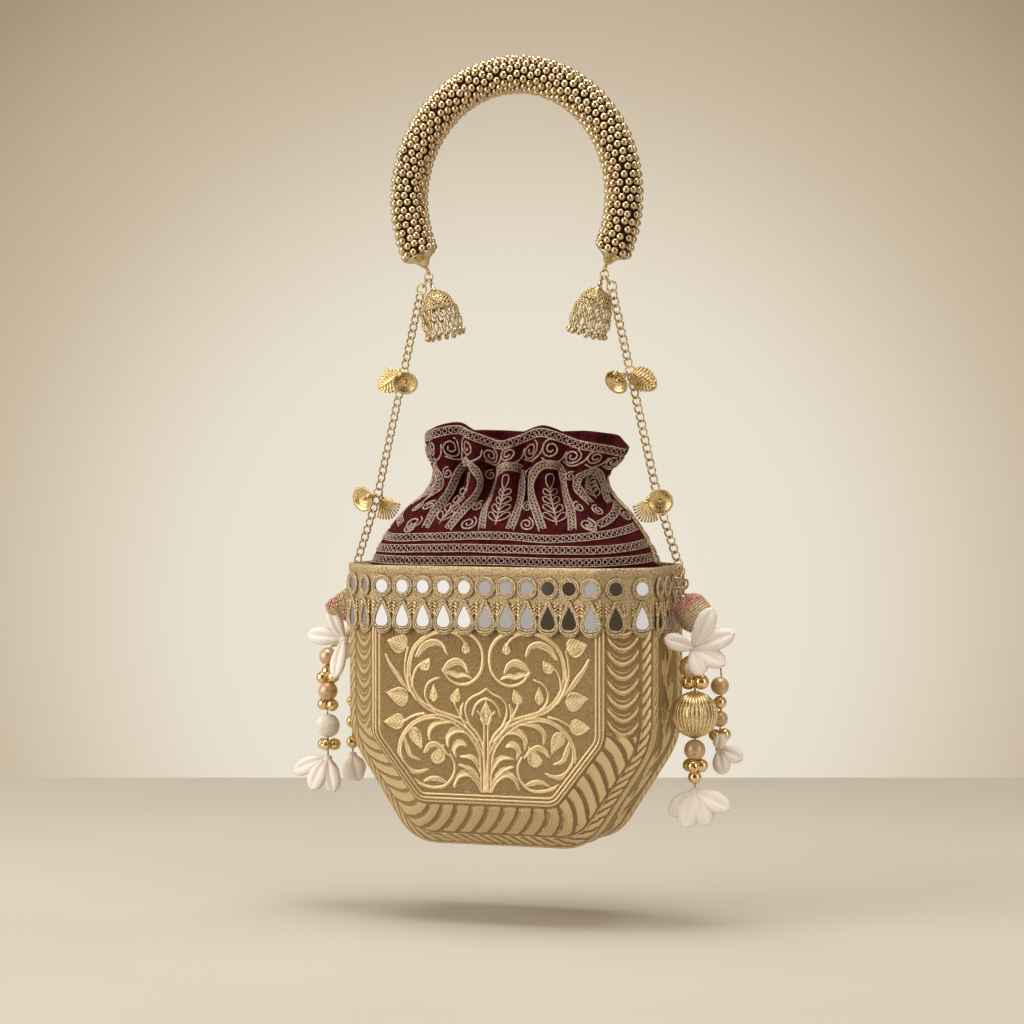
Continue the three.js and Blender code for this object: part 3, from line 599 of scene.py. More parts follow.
def handle_ends():
    """Cone caps and the wire eyes under them."""
    end, ahead, _ = handle_at(1.0)
    length, base, tip = CAP["length"], CAP["base"], CAP["tip"]
    skirt = ((0.9, 0), (0.93, -0.5), (0.9, -1.0), (0.72, -1.6), (0.5, -2.8), (0.36, -4.2))
    wide = [(base * share, z) for share, z in skirt]
    narrow = [(tip * 1.5, -5.8), (tip * 1.2, -6.2), (tip, -length)]
    cone = lathe([(0, 0), *wide, *narrow, (0, -length)], 32)
    eye = moved(ring(1.9, 0.5, "x"), shift(0, 0, -length - 2.5))
    stem_top, stem_foot, stem_radius = 0.3 - length, -0.8 - length, 0.7
    stem = lathe([(0, stem_top), (stem_radius, stem_top), (stem_radius, stem_foot), (0, stem_foot)], 10)
    place = hung(end[0], end[2], math.degrees(math.atan2(ahead[0], -ahead[2])))
    for name, side in SIDES.items():
        for part, shapes, node_name in (("cone", [cone], "cap"), ("eye", [eye, stem], "eye")):
            drawn = sided(shapes, side, place)
            piece(f"{name}_{part}", drawn, PALE_GOLD, "handle", [f"{name}_handle_{node_name}"])


# ---- chains and charms ----
def chain_link():
    """One twisted link of a curb chain, hanging along Z, centred."""
    a = circle(24)
    half = LINK["pitch"] / 2 + LINK["wire"]
    path = np.stack([LINK["half_width"] * np.cos(a), LINK["twist"] * np.sin(2 * a), half * np.sin(a)], -1)
    return tube(path, LINK["wire"], 6, closed=True, normals=np.array([[0, 1.0, 0]]))


def chain(start, end):
    """Curb chain between two (x, z) points, its links turned a little this way and that."""
    (x0, z0), (x1, z1) = start, end
    length = math.hypot(x1 - x0, z1 - z0)
    count = round(length / LINK["pitch"])
    place = hung(x0, z0, math.degrees(math.atan2(x1 - x0, z0 - z1)))
    link = chain_link()
    drop = lambda i: shift(0, 0, -(i + 0.5) * length / count)
    return [moved(link, place @ drop(i) @ turn(6 * math.sin(2.4 * i), "Z")) for i in range(count)]


def towards(a, b, distance):
    length = math.hypot(b[0] - a[0], b[1] - a[1])
    return tuple(a[i] + (b[i] - a[i]) * distance / length for i in (0, 1))


def wire_ring(size, x, z):
    return moved(ring(size["radius"], size["wire"], steps=24), shift(x, 0, z))


def hanger():
    """Shapes of one hanger at +X, each with the body part it rides on and the CAD pieces it stands for."""
    reach, overlap = CHARM_RING["radius"] * 2 - 0.3, 0.4
    oval = ring(OVAL_LINK["radius"], OVAL_LINK["wire"], "x", OVAL_LINK["half_length"] / OVAL_LINK["radius"])
    hanging_oval = moved(oval, hung(*LINK_HOOK, OVAL_LINK["lean"]) @ shift(0, 0, -1.35))
    end_ring = moved(ring(END_RING["radius"], END_RING["wire"], "x"), shift(END_RING["x"], 0, END_RING["z"]))
    chain_ring = ring(CHAIN_RING["radius"], CHAIN_RING["wire"], steps=28)
    upper_rings = [wire_ring(UPPER_RING, *UPPER_RING["centre"]),
                   moved(chain_ring, shift(CHAIN_RING["centre"][0], 0, CHAIN_RING["centre"][1])),
                   hanging_oval, wire_ring(CHARM_RING, *CHARM_RINGS["upper"])]
    upper, lower, anchor = BENDS["upper"], BENDS["lower"], BENDS["anchor"]
    first = towards(CHAIN_RING["centre"], upper, CHAIN_RING["radius"] - overlap)
    middle = towards(upper, lower, -overlap), towards(lower, upper, reach)
    last = (END_RING["x"], END_RING["z"] + 1.25)
    return (
        ("hanger", "rings", upper_rings, ["upper_ring", "hanger_link", "chain_ring", "charm_ring_upper"]),
        ("hanger", "links", chain(first, towards(upper, CHAIN_RING["centre"], reach)), ["chain_upper"]),
        ("middle", "rings", [wire_ring(CHARM_RING, *CHARM_RINGS["lower"])], ["charm_ring_lower"]),
        ("middle", "links", chain(*middle), ["chain_middle"]),
        ("lower", "rings", [end_ring], []),
        ("lower", "links", chain(towards(lower, anchor, -overlap), last), ["chain_lower"]),
    )


def hangers():
    parts = hanger()
    for name, side in SIDES.items():
        for part, kind, shapes, nodes in parts:
            piece(f"{name}_{part}_{kind}", sided(shapes, side), PALE_GOLD, f"{name}_{part}",
                  [f"{name}_{n}" for n in nodes])


def charm_eye():
    return moved(ring(CHARM_EYE["radius"], CHARM_EYE["wire"], "x"), shift(0, 0, -CHARM_EYE["drop"]))


def bell(angle):
    """Short flared bell, its mouth turned outwards: beaded lip, patterned inner dome and a clapper bead."""
    neck = -1.4
    outside = [(0.4, 0.3), (1.0, 0), (1.3, -0.8), (2.0, -2.2), (2.7, -4.0), (3.4, -5.6), (4.5, -7.0)]
    inside = [(5.9, -8.0), (6.5, -8.5), (6.3, -8.9), (5.4, -8.4), (4.2, -7.6), (2.6, -7.0), (0.3, -6.8)]
    shapes = [lathe([(r, neck + z) for r, z in outside + inside], 36), charm_eye()]
    for count, radius, drop in ((30, 6.4, 8.6), (18, 4.4, 7.6), (11, 2.6, 6.9)):
        spots = [(radius * math.cos(a), radius * math.sin(a), neck - drop) for a in circle(count)]
        shapes += [moved(ball(0.52, 8, 5), shift(*spot)) for spot in spots]
    shapes.append(moved(ball(1.3, 12, 7), shift(0, 0, neck - 6.9)))
    shapes.append(moved(ball(1.35, 14, 9), shift(-1.2, -6.0, neck - 10.4)))
    shapes.append(moved(ring(0.8, 0.25, "x", 1.2), shift(-1.2, -6.0, neck - 9.1)))
    return [moved(s, shift(0, -0.4, 0) @ turn(angle, "X")) for s in shapes]


def leaf():
    """Cast leaf: a thin plate with a centre vein and slanting ribs that end as teeth on its edge."""
    rows, columns, length, half, top, teeth = 72, 25, 13.2, 6.3, -1.2, 8
    v = np.linspace(0, 1, rows)[:, None]
    u = np.linspace(-1, 1, columns)[None]
    across = np.abs(u)
    tooth = 0.5 + 0.5 * np.cos(TAU * teeth * (v - 0.3 * across))
    edge_tooth = 0.5 + 0.5 * np.cos(TAU * teeth * (v - 0.3))
    width = half * np.sin(math.pi * v**0.85) ** 0.55 * (1 - 0.14 * edge_tooth) + 0.25
    x = width * u
    z = top - length * v + across**1.5 * 2.4 * (1 - v)
    high = 0.5 * tooth * across**0.4 + 0.6 * ridge(u, 1 / 9) + 0.5 * (1 - across**2)
    front = np.stack([x, -0.3 - high, z], -1)
    back = np.stack([x, 0.3 + 0.3 * high, z], -1)
    return [closed_plate(front, back), charm_eye()]


def fan_leaf():
    """Cast leaf opened like a fan: spikes that spread from a short solid heart."""
    shapes, spikes, spread, top = [charm_eye()], 11, 84, -1.2
    for k in range(spikes):
        off_middle = 2 * k / (spikes - 1) - 1
        angle = off_middle * spread / 2
        length = 12.6 - 1.6 * abs(off_middle)
        x, z = math.sin(math.radians(angle)) * length, math.cos(math.radians(angle)) * length
        spine = smooth_path([(0, 0, -2.3), (x * 0.5, -0.7, top - z * 0.5), (x, -0.35, top - z)], 0.9)
        web = shift(0, 0, top) @ turn(-angle, "Y") @ shift(0, 0, -3.6) @ Matrix.Diagonal((1.1, 0.35, 3.8, 1))
        shapes += [tube(spine, 0.55, 6), moved(ball(1, 10, 7), web)]
    return shapes


def charms():
    bells = {"bell_upper": bell(-58), "bell_lower": bell(-70)}
    shapes = bells | {"leaf_upper": leaf(), "leaf_lower": fan_leaf()}
    for name, side in SIDES.items():
        for charm, (x, z, lean) in CHARM_HOOKS.items():
            drawn = sided(shapes[charm], side, hung(x, z, lean))
            piece(f"{name}_{charm}_charm", drawn, GOLD, f"{name}_{charm}", [f"{name}_{charm}"])


def jhumka_dome():
    """Dome with rows of small eyelets, and rows of dots between them."""
    top, rim, radius = JHUMKA["top"], JHUMKA["rim"], JHUMKA["radius"]
    height = top - rim
    curve = np.array([(0.13, 0), (0.13, 0.2), (0.24, 0.28), (0.42, 0.34), (0.6, 0.44), (0.74, 0.56),
                      (0.86, 0.7), (0.94, 0.84), (1, 1)])
    outer = np.c_[radius * curve[:, 0] * 0.97, top - height * curve[:, 1]]
    inner = [(radius * r * 0.87, top - height * (h + 0.06)) for r, h in curve[-2:2:-1]]
    shapes = [lathe([(0, top), *outer, (radius * 0.9, rim), *inner, (0, inner[-1][1])], 40)]
    shapes.append(moved(ring(1.4, 0.4, "x"), shift(0, 0, -0.25)))
    walked = walk(outer)
    on_dome = lambda s: [float(np.interp(s, walked, outer[:, k])) for k in (0, 1)]
    eyelet, dot = ring(0.92, 0.36, "z", steps=12, sides=5), ball(0.5, 7, 5)
    for i, s in enumerate(np.arange(walked[3] + 1.2, walked[-1] - 0.8, 2.75)):
        (r, z), (r_next, z_next) = on_dome(s), on_dome(s + 0.3)
        slope = math.degrees(math.atan2(r_next - r, z - z_next))
        count = max(5, int(TAU * r / 2.6))
        shapes += around(eyelet, count, shift(r + 0.25, 0, z) @ turn(90 - slope, "Y"), 0.5 * (i % 2))
        r, z = on_dome(s + 1.4)
        shapes += around(dot, int(TAU * r / 0.95), shift(r + 0.1, 0, z))
    return shapes


def jhumka_fringe():
    """Hanging rows of two oval links and a small ring, with a ball at the end of each."""
    shapes, count, radius = [], 15, 9.3
    rng = np.random.default_rng(9)
    upper, lower = ring(1.6, 0.42, "x", 1.9, 16, 6), ring(1.35, 0.4, "x", 1.9, 14, 6)
    for k in range(count):
        drop = rng.uniform(-0.4, 0.4)
        at = lambda z, out=0.0: turn(360 * k / count, "Z") @ shift(radius + out, 0, z + drop)
        shapes.append(moved(upper, at(-18.6) @ turn(rng.uniform(-22, 22), "Z")))
        shapes.append(moved(lower, at(-23.8, 0.3) @ turn(90 + rng.uniform(-40, 40), "Z")))
        shapes.append(moved(ring(0.95, 0.34, "x", 1.2, 10, 5), at(-27.2, 0.4)))
        shapes.append(moved(ball(1.5, 10, 7), at(-29.6, 0.4)))
        shapes.append(moved(ball(0.8, 8, 5), at(-20.6, 0.8)))
    return shapes


def jhumkas():
    place = hung(*JHUMKA_HOOK, JHUMKA["lean"])
    parts = {"dome": jhumka_dome(), "fringe": jhumka_fringe()}
    for name, side in SIDES.items():
        body = f"{name}_jhumka"
        for part, shapes in parts.items():
            drawn = sided(shapes, side, place)
            piece(f"{body}_{part}_work", drawn, PALE_GOLD, body, [f"{body}_{part}"])


# ---- box ----
def outline(size, steps=10):
    """Right half of the box's outline from the rim down to the middle of the bottom, corners rounded."""
    corners = [(size["half"], size["top"]), (size["half"], size["shoulder"]), (size["base"], size["bottom"]),
               (0.0, size["bottom"])]
    rim, shoulder, foot, middle = np.array(corners, float)
    turns = ((rim, shoulder, foot), (shoulder, foot, middle))
    bends = [rounded_corner(*corner, size["round"], steps) for corner in turns]
    return np.concatenate([[rim], *bends, [middle]])


def to_line(x, z, line):
    """Distance of each point from a line of points, its place along it, and its side of it (1 is left)."""
    best = np.full(x.shape, 1e9)
    along = np.zeros(x.shape)
    side = np.ones(x.shape)
    walked = 0.0
    for (ax, az), (bx, bz) in zip(line, line[1:]):
        dx, dz = bx - ax, bz - az
        length = math.hypot(dx, dz)
        if length < 1e-6:
            continue
        t = np.clip(((x - ax) * dx + (z - az) * dz) / length**2, 0, 1)
        d = np.hypot(x - ax - t * dx, z - az - t * dz)
        near = d < best
        best[near] = d[near]
        along[near] = walked + t[near] * length
        side[near] = np.where(dx * (z - az) - dz * (x - ax) > 0, 1, -1)[near]
        walked += length
    return best, along, side


SCROLLS = (  # root width and centre line of the front's scrollwork, right half, each from its root to its tip
    (1.2, ((1.3, -352), (2.3, -339), (4.7, -332), (9.5, -326), (16, -322), (25, -319.3), (33, -316),
           (39, -310), (42.2, -302), (42.2, -294), (39.6, -286.5), (34, -281), (26, -277.6), (16, -277.3),
           (8, -279.2), (3.2, -284.4), (1.8, -291), (3.2, -298), (8, -303), (14, -304.4), (19.5, -302.4),
           (23.7, -297.4))),
    (1.2, ((1.2, -358), (2.6, -341), (6.5, -333), (12, -327), (19, -323), (27, -321.2), (35, -322.4),
           (42, -326.8), (46.6, -333.5), (47.6, -341), (44.8, -349), (38.5, -354.8), (30, -357.6),
           (22.8, -356.6), (18.2, -351.5), (17.2, -345.5), (19.4, -340.6))),
    (0.3, ((38.6, -312.5), (42.4, -306.5), (44.6, -299), (44.2, -291.5), (43, -286))),
    (0.3, ((40.6, -306), (39.8, -299.8), (37.4, -295.6), (34.8, -294.2))),
    (0.3, ((28, -318), (32, -314), (33.6, -309.5), (32.4, -305), (29.4, -302.4), (26, -301.2))),
    (0.3, ((4.4, -333), (10.6, -325.8), (14.8, -319.4), (17.4, -314))),
    (0.3, ((24, -277.5), (16.6, -278.6), (12, -282.4), (10.9, -287))),
    (0.3, ((1.2, -336), (4.6, -329.5), (8.8, -325), (11.2, -319), (10.8, -314), (7.6, -310.6), (3.6, -308.8),
           (0, -306.2))),
    (0.3, ((0, -311.2), (3.4, -312.6), (6.2, -315.6), (7.6, -320))),
    (0.3, ((34, -319.8), (39.5, -321), (45.2, -324))),
    (0.4, ((0.9, -363), (0.9, -350), (1.1, -338), (1.0, -327), (2.2, -321), (4.6, -318))),
)
LEAVES = (  # foot x, foot z, direction in degrees from +X towards +Z, length, half width, bend
    (43.6, -285.5, 22, 11.5, 5.4, -1.5),
    (42.8, -312.2, 3, 12.5, 5.2, 2),
    (45, -324.4, 6, 11.5, 4.4, -1.5),
    (35.4, -297.6, 118, 8, 3.0, 1),
    (17.6, -314, 100, 8.5, 2.7, 1),
    (11.2, -288.6, 92, 6.5, 2.2, 0),
    (28.6, -313.6, 82, 9, 2.3, 1),
    (0, -325, 90, 13, 3.4, 0),
    (27.6, -345.5, 102, 11, 4.0, 2),
    (40.6, -326.8, 254, 13, 3.6, -2),
)
CURLS = (  # width of the lobe, its side (1 is left of the spine), points of its spine
    (3.2, 1, ((38.6, -290.5), (35.4, -284.6), (29.5, -281.8), (23.8, -283.6), (21.4, -289))),
    (3.4, 1, ((23.9, -297.4), (20.6, -292.8), (15.8, -291.2), (11.6, -293.6), (9.8, -298.4))),
    (2.4, -1, ((23.4, -298), (19.4, -299.6), (15.6, -300.8), (11.6, -300), (7.8, -301.4))),
    (2.0, -1, ((42.4, -308.5), (45.6, -303.6), (49, -298.8), (52.4, -294.8), (55.4, -289.8))),
    (2.6, 1, ((16.6, -324), (22.4, -324.2), (27.6, -325.6), (30.8, -329), (31, -333.6))),
    (3.4, 1, ((6.6, -333), (10.8, -329.4), (16, -328.8), (20.2, -331.6), (21, -336.6))),
    (2.6, 1, ((11, -335.6), (14.6, -335.4), (17, -338.2), (16.6, -341.6))),
    (2.6, 1, ((46.8, -335), (46.4, -342), (43, -347.4), (37.6, -349.6), (32.2, -348.4))),
    (2.2, 1, ((45.4, -331), (42.6, -337), (40.8, -341.4), (36.6, -343.6))),
    (2.6, 1, ((34, -339.8), (32, -335.8), (28, -334.4), (24, -336.6), (20.6, -341))),
    (2.8, 1, ((1.8, -352.5), (4.6, -346.4), (8.4, -342.2), (14.2, -341.4))),
    (2.2, 1, ((3.2, -355), (7.4, -349.8), (11, -347.2), (15, -345.6))),
    (3.6, 1, ((1.6, -362.4), (4.6, -355.6), (9.6, -351), (14.8, -352.2), (17.6, -357.2))),
    (2.4, -1, ((4.6, -362.8), (9.4, -359.6), (13.6, -360.6), (16.4, -362.8))),
    (2.0, -1, ((21, -355), (26, -352.4), (30.6, -352.6), (34.4, -355))),
    (2.2, -1, ((10.4, -326.6), (13, -322.4), (13.4, -317.6), (12.6, -314))),
)


def lobe_relief(x, z, width, turned, points):
    """Acanthus lobe: a raised lip along a curved spine, with fine ribs fading away from it on one side."""
    line = smooth_path(points, 1.2)
    d, along, side = to_line(x, z, line)
    share = along / along.max()
    reach = width * np.sin(math.pi * (0.06 + 0.9 * share) ** 0.8) + 0.3
    within = (side == turned) & (d < reach) & (share > 0.01) & (share < 0.99)
    ribs = 0.5 + 0.5 * np.cos(TAU * (d / 1.15 - share * 0.8))
    body = np.where(within, (0.5 - 0.26 * d / reach) + 0.2 * ribs, 0)
    return np.maximum(body, ridge(d, 0.46) * np.where(share > 0.97, 0.6, 1))


def leaf_relief(x, z, foot_x, foot_z, direction, length, half, bend):
    """Pointed leaf with a curved spine, a raised edge on one side and slanting veins."""
    a = math.radians(direction)
    u = ((x - foot_x) * math.cos(a) + (z - foot_z) * math.sin(a)) / length
    v = -(x - foot_x) * math.sin(a) + (z - foot_z) * math.cos(a) - bend * np.clip(u, 0, 1) ** 1.6
    inside = (u > 0) & (u < 1)
    width = half * np.sin(math.pi * np.clip(u, 0, 1) ** 0.62) ** 1.1 + 1e-6
    q = np.clip(np.abs(v) / width, 0, 1)
    body = 0.52 * np.sqrt(1 - q**2) + 0.08 * np.cos(TAU * (u * length - np.abs(v) * 1.2) / 2.2) * (q < 0.8)
    edge = (0.75 + 0.25 * np.sign(v * bend + 1e-9)) * ridge((q - 0.86) * width, 0.4)
    middle = 0.65 * ridge(v, 0.3)
    high = np.maximum(np.maximum(body, edge), middle)
    return np.where(inside & (q < 1), high, 0)


def close_to(points, x, z, margin):
    """Which of the grid's points lie in the box round a curve."""
    low_corner, high_corner = np.min(points, axis=0) - margin, np.max(points, axis=0) + margin
    return (x > low_corner[0]) & (x < high_corner[0]) & (z > low_corner[1]) & (z < high_corner[1])


def ornament(x, z):
    """Height of the front's scrollwork from 0 to about 1, for x >= 0."""
    high = np.zeros(x.shape)
    for spec in LEAVES:
        high = np.maximum(high, leaf_relief(x, z, *spec))
    for width, turned, points in CURLS:
        near = close_to(points, x, z, width + 2)
        high[near] = np.maximum(high[near], lobe_relief(x[near], z[near], width, turned, points))
    for root, points in SCROLLS:
        near = close_to(points, x, z, 4)
        d, along, _ = to_line(x[near], z[near], smooth_path(points, 1.2))
        half = root * (1 - 0.85 * along / max(along.max(), 1e-6))
        stroke = np.maximum(ridge(d - half, 0.4), 0.45 * (d < half))
        high[near] = np.where(d < half + 0.6, np.maximum(stroke, high[near] * (d > half)), high[near])
    return high


def border(along, across, onwards):
    """Height of the bevel's pattern: swags down the sides, slanting leaves round the foot, a rope edge.

    across is 0 at the face and 1 at the outer edge, along is counted down from the rim, and onwards also, but
    runs on past the foot's middle and up the other side."""
    lane = np.clip((across - 0.07) / 0.7, 0, 1)
    in_lane = np.clip(lane * 14, 0, 1) * np.clip((1 - lane) * 14, 0, 1)
    step = (along + 8.5 * (2 * lane - 1) ** 2) / 7.2 % 1
    swag = (0.25 + 0.6 * step**1.5 + 0.16 * np.cos(TAU * 3 * step)) * np.clip((1 - step) * 9, 0, 1)
    slant = (onwards - 13.0 * lane**1.5) / 8.6 % 1
    blade = (0.3 + 0.7 * np.sin(math.pi * slant**0.7)) * np.clip(np.minimum(slant, 1 - slant) * 12, 0, 1)
    blade += 0.2 * ridge(slant - 0.42, 0.05) + 0.12 * ridge(slant - 0.68, 0.04)
    foot = np.clip((along - 84) / 3, 0, 1)
    high = (swag * (1 - foot) + blade * foot) * in_lane
    off_rope = across - 0.89
    strand = (onwards / 5.6 + off_rope * 7) % 1 - 0.5
    rope = np.sqrt(hump(strand / 0.47)) * hump(off_rope / 0.1) ** 0.4
    rails = np.maximum(ridge(across - 0.035, 0.024), 0.7 * ridge(across - 0.785, 0.016))
    return np.clip(np.maximum.reduce([high * 0.85, rope * 0.95, rails]), 0, 1)


def blurred(values, reach):
    """Mean of a grid's values over a small square round each one."""
    for axis in (0, 1):
        padding = [(reach + 1, reach) if k == axis else (0, 0) for k in (0, 1)]
        total = np.cumsum(np.pad(values, padding, mode="edge"), axis=axis)
        upper = np.take(total, np.arange(2 * reach + 1, total.shape[axis]), axis=axis)
        lower = np.take(total, np.arange(total.shape[axis] - 2 * reach - 1), axis=axis)
        values = (upper - lower) / (2 * reach + 1)
    return values


def box_grid(step):
    """Places of the right half of the front: x and z of each point, with rows down from the rim."""
    outer = outline(OUTER)
    foot = FACE["bottom"]
    z_rows = np.concatenate([[RIM_Z, -262.0, -272.0], np.arange(-273.0, foot, -step),
                             np.arange(foot, OUTER["bottom"], -step * 1.1), [OUTER["bottom"]]])
    half_width = np.interp(-z_rows, -outer[:-1, 1], outer[:-1, 0])
    edge = FACE["half"] / OUTER["half"]
    u = np.concatenate([np.linspace(0, edge, int(FACE["half"] / step), endpoint=False),
                        np.linspace(edge, 1, int((OUTER["half"] - FACE["half"]) / step / 1.2))])
    return half_width[:, None] * u[None], np.repeat(z_rows[:, None], len(u), axis=1)


def half_box(step):
    """One embossed half of the box as a sheet seen from the front: its shape and the tone of each point,
    which holds painted highlight on the relief's tops, patina and painted shade round it, and painted shade
    on the bevel.
    """
    x, z = box_grid(step)
    outer, face = outline(OUTER), outline(FACE)
    middle = outline({key: (OUTER[key] + FACE[key]) / 2 for key in OUTER} | {"round": 20})
    face_half = np.interp(-z, -face[:-1, 1], face[:-1, 0], right=-1)
    inside = (x <= face_half) & (z > FACE["bottom"])
    d_face, d_outer, along = to_line(x, z, face)[0], to_line(x, z, outer)[0], to_line(x, z, middle)[1]
    share = np.where(inside, 0, d_face / np.maximum(d_face + d_outer, 1e-6))
    rails = np.maximum(ridge(d_face - 1.0, 0.4), 0.8 * ridge(d_face - 3.0, 0.4))
    front = np.maximum(ornament(x, z) * np.clip(d_face - 4.2, 0, 1), rails)
    both = lambda right, left: np.concatenate([left[:, :0:-1], right], axis=1)
    relief = both(*[np.where(inside, front, border(along, share, onwards)) * np.clip(d_outer / 0.8, 0, 1)
                    for onwards in (along, 2 * along.max() - along)])
    inside, share = both(inside, inside), both(share, share)
    depth = np.where(inside, EMBOSSED["face"], EMBOSSED["bevel"])
    y = -FACE_Y + (FACE_Y - GUSSET_Y) * share - depth * relief
    # painted shading: lighter on the relief's raised tops (painted highlight), darker in the hollows round it
    # (patina and painted shade), and the bevel painted a little darker than the face (painted shade)
    patina_and_painted_shading = relief - blurred(relief, 4)
    tone_with_painted_shading = 0.3 * relief + np.where(inside, 0.5 * patina_and_painted_shading + 0.03, 0.8 * patina_and_painted_shading - 0.06)
    points = np.stack([both(x, -x), y, both(z, z)], -1)
    places, faces = skin_of(points)
    return (places, faces[:, ::-1]), tone_with_painted_shading.ravel()


def vine(along, across):
    """Height of the side wall's vine: a wavy stem with four leaves at each bend."""
    wave, swing = 25.0, 6.0
    high = ridge(across - swing * np.sin(TAU * along / wave), 0.8)
    for k in range(int(2 * along.max() / wave) + 2):
        sign = 1 if k % 2 == 0 else -1
        bend_at = wave * (0.25 + 0.5 * (k - 1))
        for direction, length, bend in ((-70, 10, 2), (-20, 12, 3), (35, 9, -2), (200, 9, 2)):
            spec = (bend_at, -5.5 * sign, -direction * sign, length, 3.0, -bend * sign)
            high = np.maximum(high, leaf_relief(along, across, *spec))
    return high


def gusset():
    """Side wall that joins the two halves, with a leafy vine between two feathered rails."""
    edge = outline(OUTER, 16)
    path = np.concatenate([edge, (edge[:-1] * (-1, 1))[::-1]])
    walked = walk(path)
    s = np.arange(0, walked[-1], 0.9)
    px, pz = (np.interp(s, walked, path[:, k]) for k in (0, 1))
    ahead = unit(np.stack([np.gradient(px), np.gradient(pz)], -1))
    w = np.linspace(-GUSSET_Y, GUSSET_Y, 65)
    along, across = np.meshgrid(np.abs(s - walked[-1] / 2), w, indexing="ij")
    lane = np.abs(across)
    barb = (along / 5.2 + lane * 0.16) % 1 - 0.5
    feather = np.sqrt(hump(barb / 0.45) * hump((lane - 19.8) / 3.0))
    rails = np.maximum(ridge(lane - 16.2, 0.5), ridge(lane - 23.2, 0.5))
    high = np.maximum.reduce([vine(along, across) * (lane < 15.5), 0.85 * feather, rails])
    high *= np.clip((GUSSET_Y - lane) / 0.6, 0, 1)
    push = EMBOSSED["side_wall"] * high
    points = np.stack([px[:, None] - ahead[:, 1:] * push, across, pz[:, None] + ahead[:, :1] * push], -1)
    # tone: the raised vine, feathers and rails painted lighter than the ground (painted highlight)
    return skin_of(points), high.ravel() * 0.4


def box():
    # the tones carry the sheet's painted shade and painted highlight
    front, front_tone_with_painted_shading = half_box(0.43)
    back, back_tone_with_painted_shading = half_box(0.8)
    wall, wall_tone_with_painted_shading = gusset()
    back = moved(back, turn(180, "Z"))
    piece("front_half", [front], SHEET_GOLD, "box", ["box_front"], front_tone_with_painted_shading)
    piece("back_half", [back], SHEET_GOLD, "box", ["box_back"], back_tone_with_painted_shading)
    piece("side_wall", [wall], SHEET_GOLD, "box", ["box_gusset"], wall_tone_with_painted_shading)


# ---- mirror trim ----
def rim_path(outwards_by):
    """Corners of the octagonal rim, counter-clockwise from the right front, pushed outwards."""
    bevel = outwards_by * 0.42
    corners = [(FACE["half"] + bevel, FACE_Y + outwards_by), (OUTER["half"] + outwards_by, GUSSET_Y + bevel)]
    quarter = lambda sx, sy: [(x * sx, y * sy) for x, y in corners]
    return quarter(1, -1) + quarter(1, 1)[::-1] + quarter(-1, 1) + quarter(-1, -1)[::-1]


def boss_frames():
    """Place of each pair of mirrors, the scale to fit it, and its lean."""
    corners = rim_path(1.35)
    kinds = ["bevel", "side", "bevel", "face"] * 2
    for i, kind in enumerate(kinds):
        (ax, ay), (bx, by) = corners[i], corners[(i + 1) % 8]
        width = math.hypot(bx - ax, by - ay)
        count = TRIM["mirrors"][kind]
        for k in range(count):
            share = (k + 0.5) / count
            x, y = ax + (bx - ax) * share, ay + (by - ay) * share
            lean = MIRROR_LEANS[kind][k] if x > 0 or kind == "face" else -3
            size = min(1.0, width / count / TRIM["pair_width"])
            wall = turn(math.degrees(math.atan2(by - ay, bx - ax)), "Z") @ Matrix.Scale(size, 4, (1, 0, 0))
            yield x, y, size, wall, lean


def trim_tape(frames):
    """Band round the rim, its section swept along the rim's path, with a notch between two drop mirrors."""
    section = [(0.35, -279.3), (1.6, -279.2), (1.9, -278.4), (1.35, -277.6), (1.3, -251), (1.35, -248.4),
               (1.9, -247.8), (1.9, -245.2), (1.6, -244.0), (0.4, -243.9)]
    edge_z, places, rows = -277, None, []
    for out, z in section:
        row = smooth_corners(np.array(rim_path(out)))
        if places is None:
            counts = np.ceil(np.linalg.norm(np.roll(row, -1, 0) - row, axis=1) / 1.3).astype(int)
            places = np.concatenate([i + np.arange(n) / n for i, n in enumerate(counts)])
        closed = np.append(row, row[:1], axis=0)
        x, y = (np.interp(places, np.arange(len(closed)), closed[:, k]) for k in (0, 1))
        nearest = np.min([np.hypot(x - bx, y - by) / size for bx, by, size, _, _ in frames], axis=0)
        notch = 4.2 * np.clip(nearest / 5.6, 0, 1) ** 2.4 * (z < edge_z)
        rows.append(np.stack([x, y, z + notch], -1))
    band = outwards(skin_of(np.stack(rows + rows[:1]), wrap=True))
    piece("trim_tape", [band], TAPE, "box", ["mirror_trim"])


def drop_outline():
    half = [(0, 9.4), (2.0, 6.0), (3.9, 2.4), (5.2, -1.4), (5.3, -4.4), (3.6, -7.0)]
    return smooth_path(half + [(0, -7.8)] + [(-x, z) for x, z in half[:0:-1]], 1.3, closed=True)


